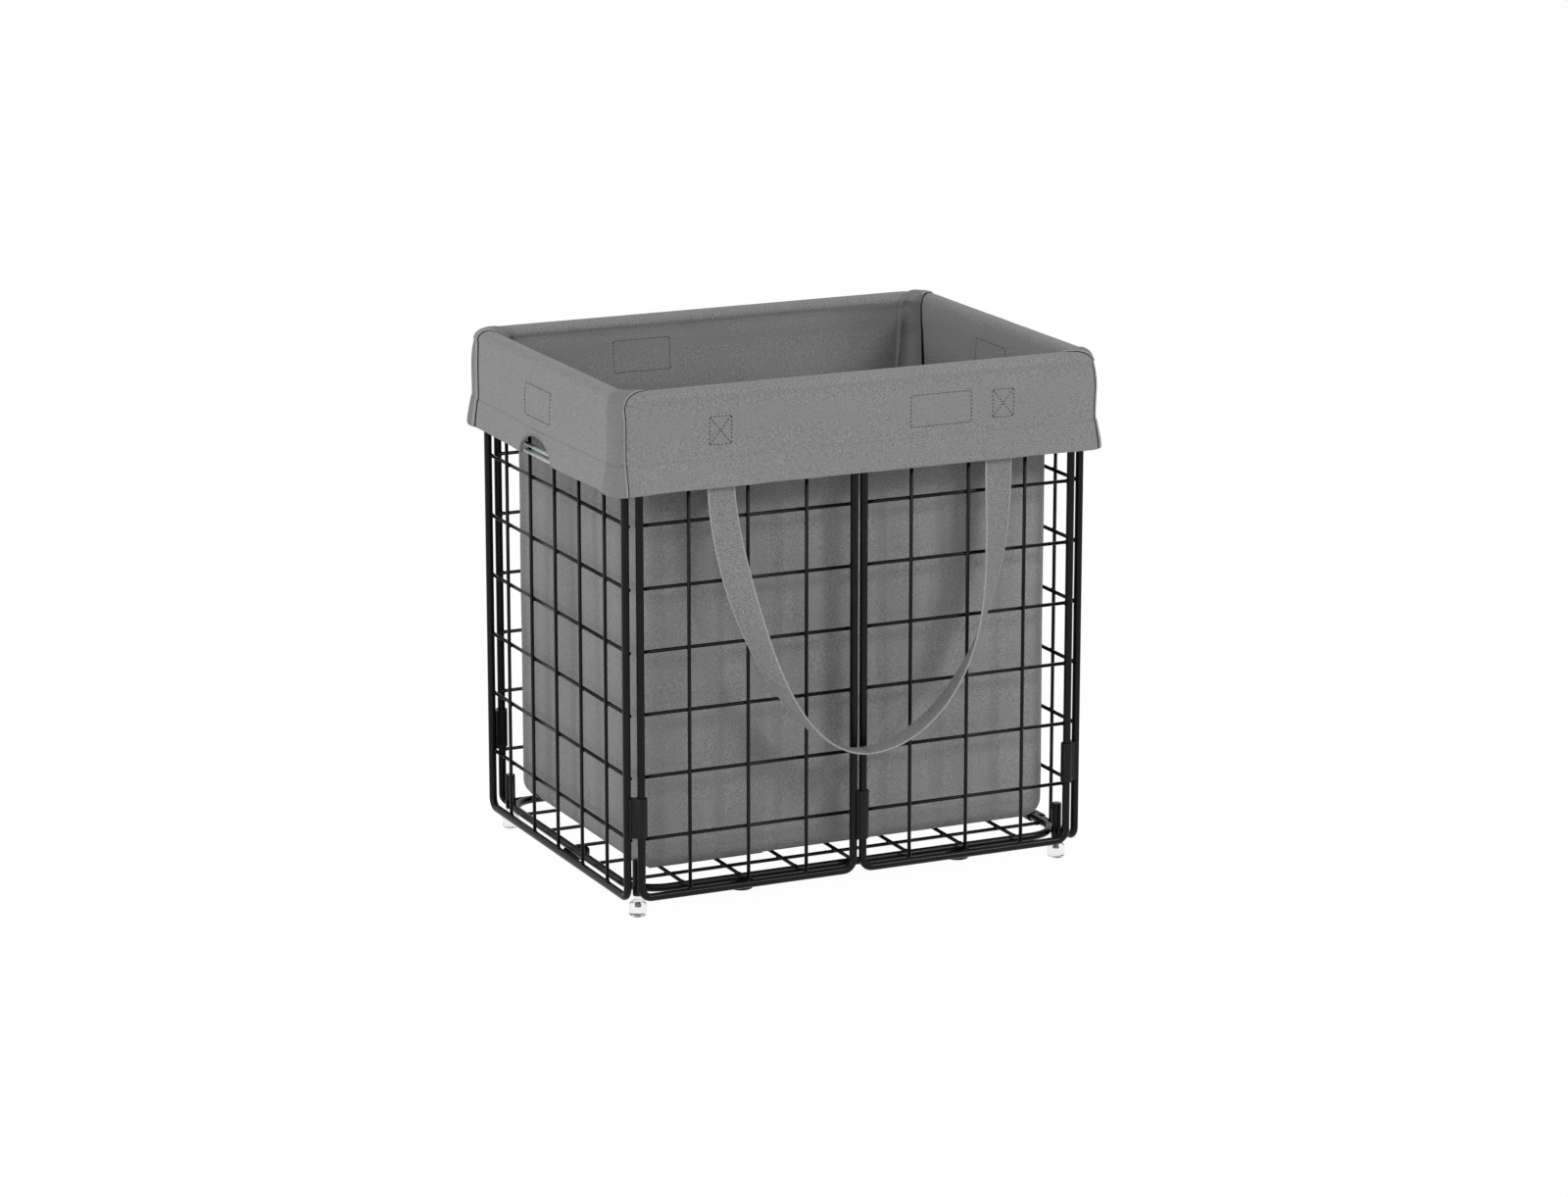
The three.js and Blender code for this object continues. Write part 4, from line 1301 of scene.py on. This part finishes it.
def patch(name, body, axis, sign, inside, span, heights, crossed=False):
    """The stitched outline of a patch on one side's cloth, or a stitched box with a cross."""
    shape = Shape()
    facing = -sign if inside else sign
    outward = np.array((facing, 0, 0) if axis == "x" else (0, facing, 0), float)
    ring = [(span[0], heights[0]), (span[1], heights[0]), (span[1], heights[1]), (span[0], heights[1])]
    lines = list(zip(ring, ring[1:] + ring[:1]))
    if crossed:
        lines += [(ring[0], ring[2]), (ring[1], ring[3])]
    for first, last in lines:
        steps = [mix_pairs(first, last, t) for t in np.linspace(0, 1, PATCH_STEPS)]
        add_stitches(shape, [cloth_at(axis, sign, along, z, inside) for along, z in steps], outward)
    hand_over(make(name, shape, thread_grey), "liner", body)


def add_patches():
    for body, axis, sign, span in PATCHES:
        patch(f"patch_{body}_out", body, axis, sign, False, span, PATCH_Z)
        patch(f"patch_{body}_in", body, axis, sign, True, span, INNER_PATCH_Z)
    for side, sign in LONG_SIDES.items():
        for half, hand in HANDS.items():
            span = hand * CROSS_X - CROSS_HALF, hand * CROSS_X + CROSS_HALF
            patch(f"cross_{side}_{half}", f"{side}_{half}", "y", sign, False, span, CROSS_Z, crossed=True)


# Bindings and arch edges

def between(grid, i, j):
    """A value from a grid's row at a column number that need not be whole."""
    low = math.floor(j)
    columns = grid.shape[1]
    return mix(grid[i, low % columns], grid[i, (low + 1) % columns], j - low)


def beside_corner(i, middle, hand, beyond):
    """Column number of a place that lies so many millimetres beyond a corner's end, in one row."""
    edge = middle + hand * CORNER_STEPS / 2
    step = np.linalg.norm(between(OUTER, i, edge + hand) - between(OUTER, i, edge))
    return edge + hand * beyond / step


def tape_ring(i, middle, dark, corner, inside):
    """One row's outline of the tape: over its top, out along a near-black strip of painted shade beside it
    and back under it.
    """
    first = beside_corner(i, middle, -dark, TAPE_LAP)
    last = beside_corner(i, middle, dark, TAPE_LAP)
    if corner in TAPE_ROUND and not inside:
        last = middle + dark * CORNER_STEPS * (0.5 - TAPE_ROUND[corner])
    ring = []
    for s in np.linspace(-1, 1, TAPE_SAMPLES):
        share = mix(TAPE_EDGE_SHARE, 1, math.sqrt(1 - abs(s) ** TAPE_SQUARE))
        ring.append((mix(first, last, (1 + s) / 2), TAPE_PROUD * share))
    step = np.linalg.norm(between(OUTER, i, last + dark * 0.5) - between(OUTER, i, last)) * 2
    outside = last + dark * mix(TAPE_CREASE_SHADE[corner], TAPE_GAP_SHADE, inside) / step
    lip = mix(TAPE_LIP, TAPE_INNER_LIP, inside)
    return ring + [(last, lip), (outside, lip), (outside, -TAPE_LIP), (first, -TAPE_LIP)]


def add_bindings():
    """Tape over each corner of the rim, with a painted highlight along one edge and a near-black strip of
    painted shade beside it.
    """
    # Slot 2 is a painted highlight on the tape's edge, and slot 1 the strip of painted shade beside it
    strips = [0] * (TAPE_SAMPLES - 2) + [2] + [1] * 3 + [0] * 2
    first_inside = CUFF_ROWS + TAPE_RIM_ROWS
    for corner, (sx, sy) in CORNERS.items():
        middle = next(j for j, column in enumerate(COLUMNS)
                      if np.allclose(column[2:4], (sx * ROOT_HALF, sy * ROOT_HALF)))
        dark = 1 if corner in ("front_left", "back_left") else -1
        rings = []
        for i in range(FLARE_ROWS):
            inside = clamped((i - first_inside) / (FLARE_ROWS - first_inside))
            rings.append([between(OUTER, i, place) + between(MIDDLE_NORMALS, i, place) * lift
                          for place, lift in tape_ring(i, middle, dark, corner, inside)])
        shape = Shape()
        loft(shape, rings, strips, flipped=dark > 0)
        tape = make(f"tape_{corner}", shape, binding_tape, crease_shade, tape_painted_highlight)
        hand_over(tape, "binding", "right_end" if sx > 0 else "left_end", f"{corner}_binding")


def add_arch_edges():
    for end, sx in (("right", 1), ("left", -1)):
        line = [MIDDLE[0, j] for j, column in enumerate(COLUMNS) if column[2:4] == (sx, 0)]
        line = [point for point in line if abs(point[1]) <= ARCH_HALF + ARCH_EDGE_LAP]
        shape = Shape()
        tube(shape, line, ARCH_EDGE_R, ARCH_EDGE_SIDES, (1, 0, 0))
        hand_over(make(f"arch_edge_{end}", shape, binding_tape), "binding", f"{end}_end")


# Straps

def strap_stations():
    """Places (x, z, share of the twist) along the hanging strap, from one sewn end to the other."""
    sewn = [(HEM_Z + STRAP_SEWN, 0.0), (HEM_Z + STRAP_SEWN / 2, 0.0)]
    found = [(-STRAP_ARM_X, *place) for place in sewn]
    for angle in np.linspace(-math.pi / 2, math.pi / 2, 2 * STRAP_STEPS + 1):
        fall = max(math.cos(angle), 0.0) ** STRAP_ROUND[int(angle > 0)]
        found.append((STRAP_ARM_X * math.sin(angle), mix(HEM_Z, STRAP_LOW_Z, fall), smooth(fall)))
    return found + [(STRAP_ARM_X, *place) for place in reversed(sewn)]


def add_straps():
    marks = strap_stations()
    profile = STRAP_PROFILE + [(-u, v) for u, v in reversed(STRAP_PROFILE)]
    profile += [(u, -v) for u, v in reversed(profile)]
    # Faces near the edges get the painted highlight
    strips = [int(min(abs(a), abs(b)) > HIGHLIGHT_EDGE_SHARE)
              for (a, _), (b, _) in zip(profile, profile[1:] + profile[:1])]
    face = SIDE_Y + ROD_R + STRAP_SEAT + STRAP_THICK / 2
    for side, sy in LONG_SIDES.items():
        rings = []
        for i, (x, z, turn) in enumerate(marks):
            before, after = marks[max(0, i - 1)], marks[min(len(marks) - 1, i + 1)]
            along = unit(np.array((after[0] - before[0], 0, after[1] - before[1])))
            angle = turn * STRAP_TURN
            across = np.array((-along[2], 0, along[0])) * math.cos(angle) + np.array((0, -math.sin(angle), 0))
            through = np.cross(across, along)
            wide = mix(STRAP_ARM_WIDE, STRAP_WIDE, turn)
            middle = np.array((x, -face - (wide - STRAP_THICK) / 2 * math.sin(angle), z))
            ring = [middle + across * u * wide / 2 + through * v * STRAP_THICK / 2 for u, v in profile]
            rings.append([p * (1, -sy, 1) for p in ring])
        centre = len(rings) // 2
        for half, chosen in (("left", rings[:centre + 1]), ("right", rings[centre:])):
            shape = Shape()
            loft(shape, chosen, strips, flipped=sy < 0)
            bend = [(HANDS[half] * x, 0) for x in STRAP_BEND]
            hand_over(make(f"strap_{side}_{half}", shape, strap_web, strap_painted_highlight), "strap",
                      (f"{side}_{half}", f"{side}_centre", *bend), f"{side}_strap")


# Camera, floor and light

def add_camera():
    data = bpy.data.cameras.new("camera")
    data.sensor_width = SENSOR
    data.lens = LENS_PIXELS / PHOTO_WIDTH * SENSOR
    data.clip_end = VIEW_END
    camera = put("camera", data)
    forward = Vector((math.sin(YAW) * math.cos(PITCH), math.cos(YAW) * math.cos(PITCH), -math.sin(PITCH)))
    aim = Vector((math.cos(YAW) * AIM_RIGHT, -math.sin(YAW) * AIM_RIGHT, AIM_Z))
    camera.location = (aim - forward * DISTANCE) * MM
    camera.rotation_euler = forward.to_track_quat("-Z", "Y").to_euler()
    bpy.context.scene.camera = camera


def add_light(name, size, place, power):
    data = bpy.data.lights.new(name, "AREA")
    data.shape = "RECTANGLE"
    data.size, data.size_y = size
    data.energy = power
    lamp = put(name, data)
    lamp.location = place
    lamp.rotation_euler = (Vector(LAMP_AIM) - Vector(place)).to_track_quat("-Z", "Y").to_euler()


def add_floor_plane():
    mesh = bpy.data.meshes.new("studio_floor")
    ends = [(sx * FLOOR_REACH, sy * FLOOR_REACH, 0) for sx, sy in CORNERS.values()]
    mesh.from_pydata(ends, [], [(0, 1, 2, 3)])
    floor = put("studio_floor", mesh)
    floor.location.z = -FLOOR_DROP
    material = bpy.data.materials.new("studio_floor")
    material.use_nodes = True
    nodes = Nodes(material.node_tree)
    nodes.tree.nodes.clear()
    nodes.output("ShaderNodeOutputMaterial", nodes.maths("MULTIPLY", nodes.seen_directly(), FLOOR_GLOW),
                 nodes.add("ShaderNodeBsdfDiffuse", {"Color": FLOOR_WHITE}),
                 nodes.add("ShaderNodeEmission", {"Color": WHITE, "Strength": 1.0}))
    mesh.materials.append(material)


def add_world():
    world = bpy.data.worlds.new("studio")
    bpy.context.scene.world = world
    world.use_nodes = True
    nodes = Nodes(world.node_tree)
    nodes.tree.nodes.clear()
    nodes.output("ShaderNodeOutputWorld", nodes.seen_directly(),
                 nodes.add("ShaderNodeBackground", {"Color": WHITE, "Strength": AMBIENT}),
                 nodes.add("ShaderNodeBackground", {"Color": WHITE, "Strength": 1.0}))


bpy.context.scene.view_settings.view_transform = "Standard"
add_camera()
add_world()
add_floor_plane()
for name, settings in LAMPS.items():
    add_light(name, *settings)

add_frame()
add_clips()
add_grips()
add_feet()
add_pads()
add_liner()
add_gussets()
add_pleat()
add_patches()
add_bindings()
add_arch_edges()
add_straps()
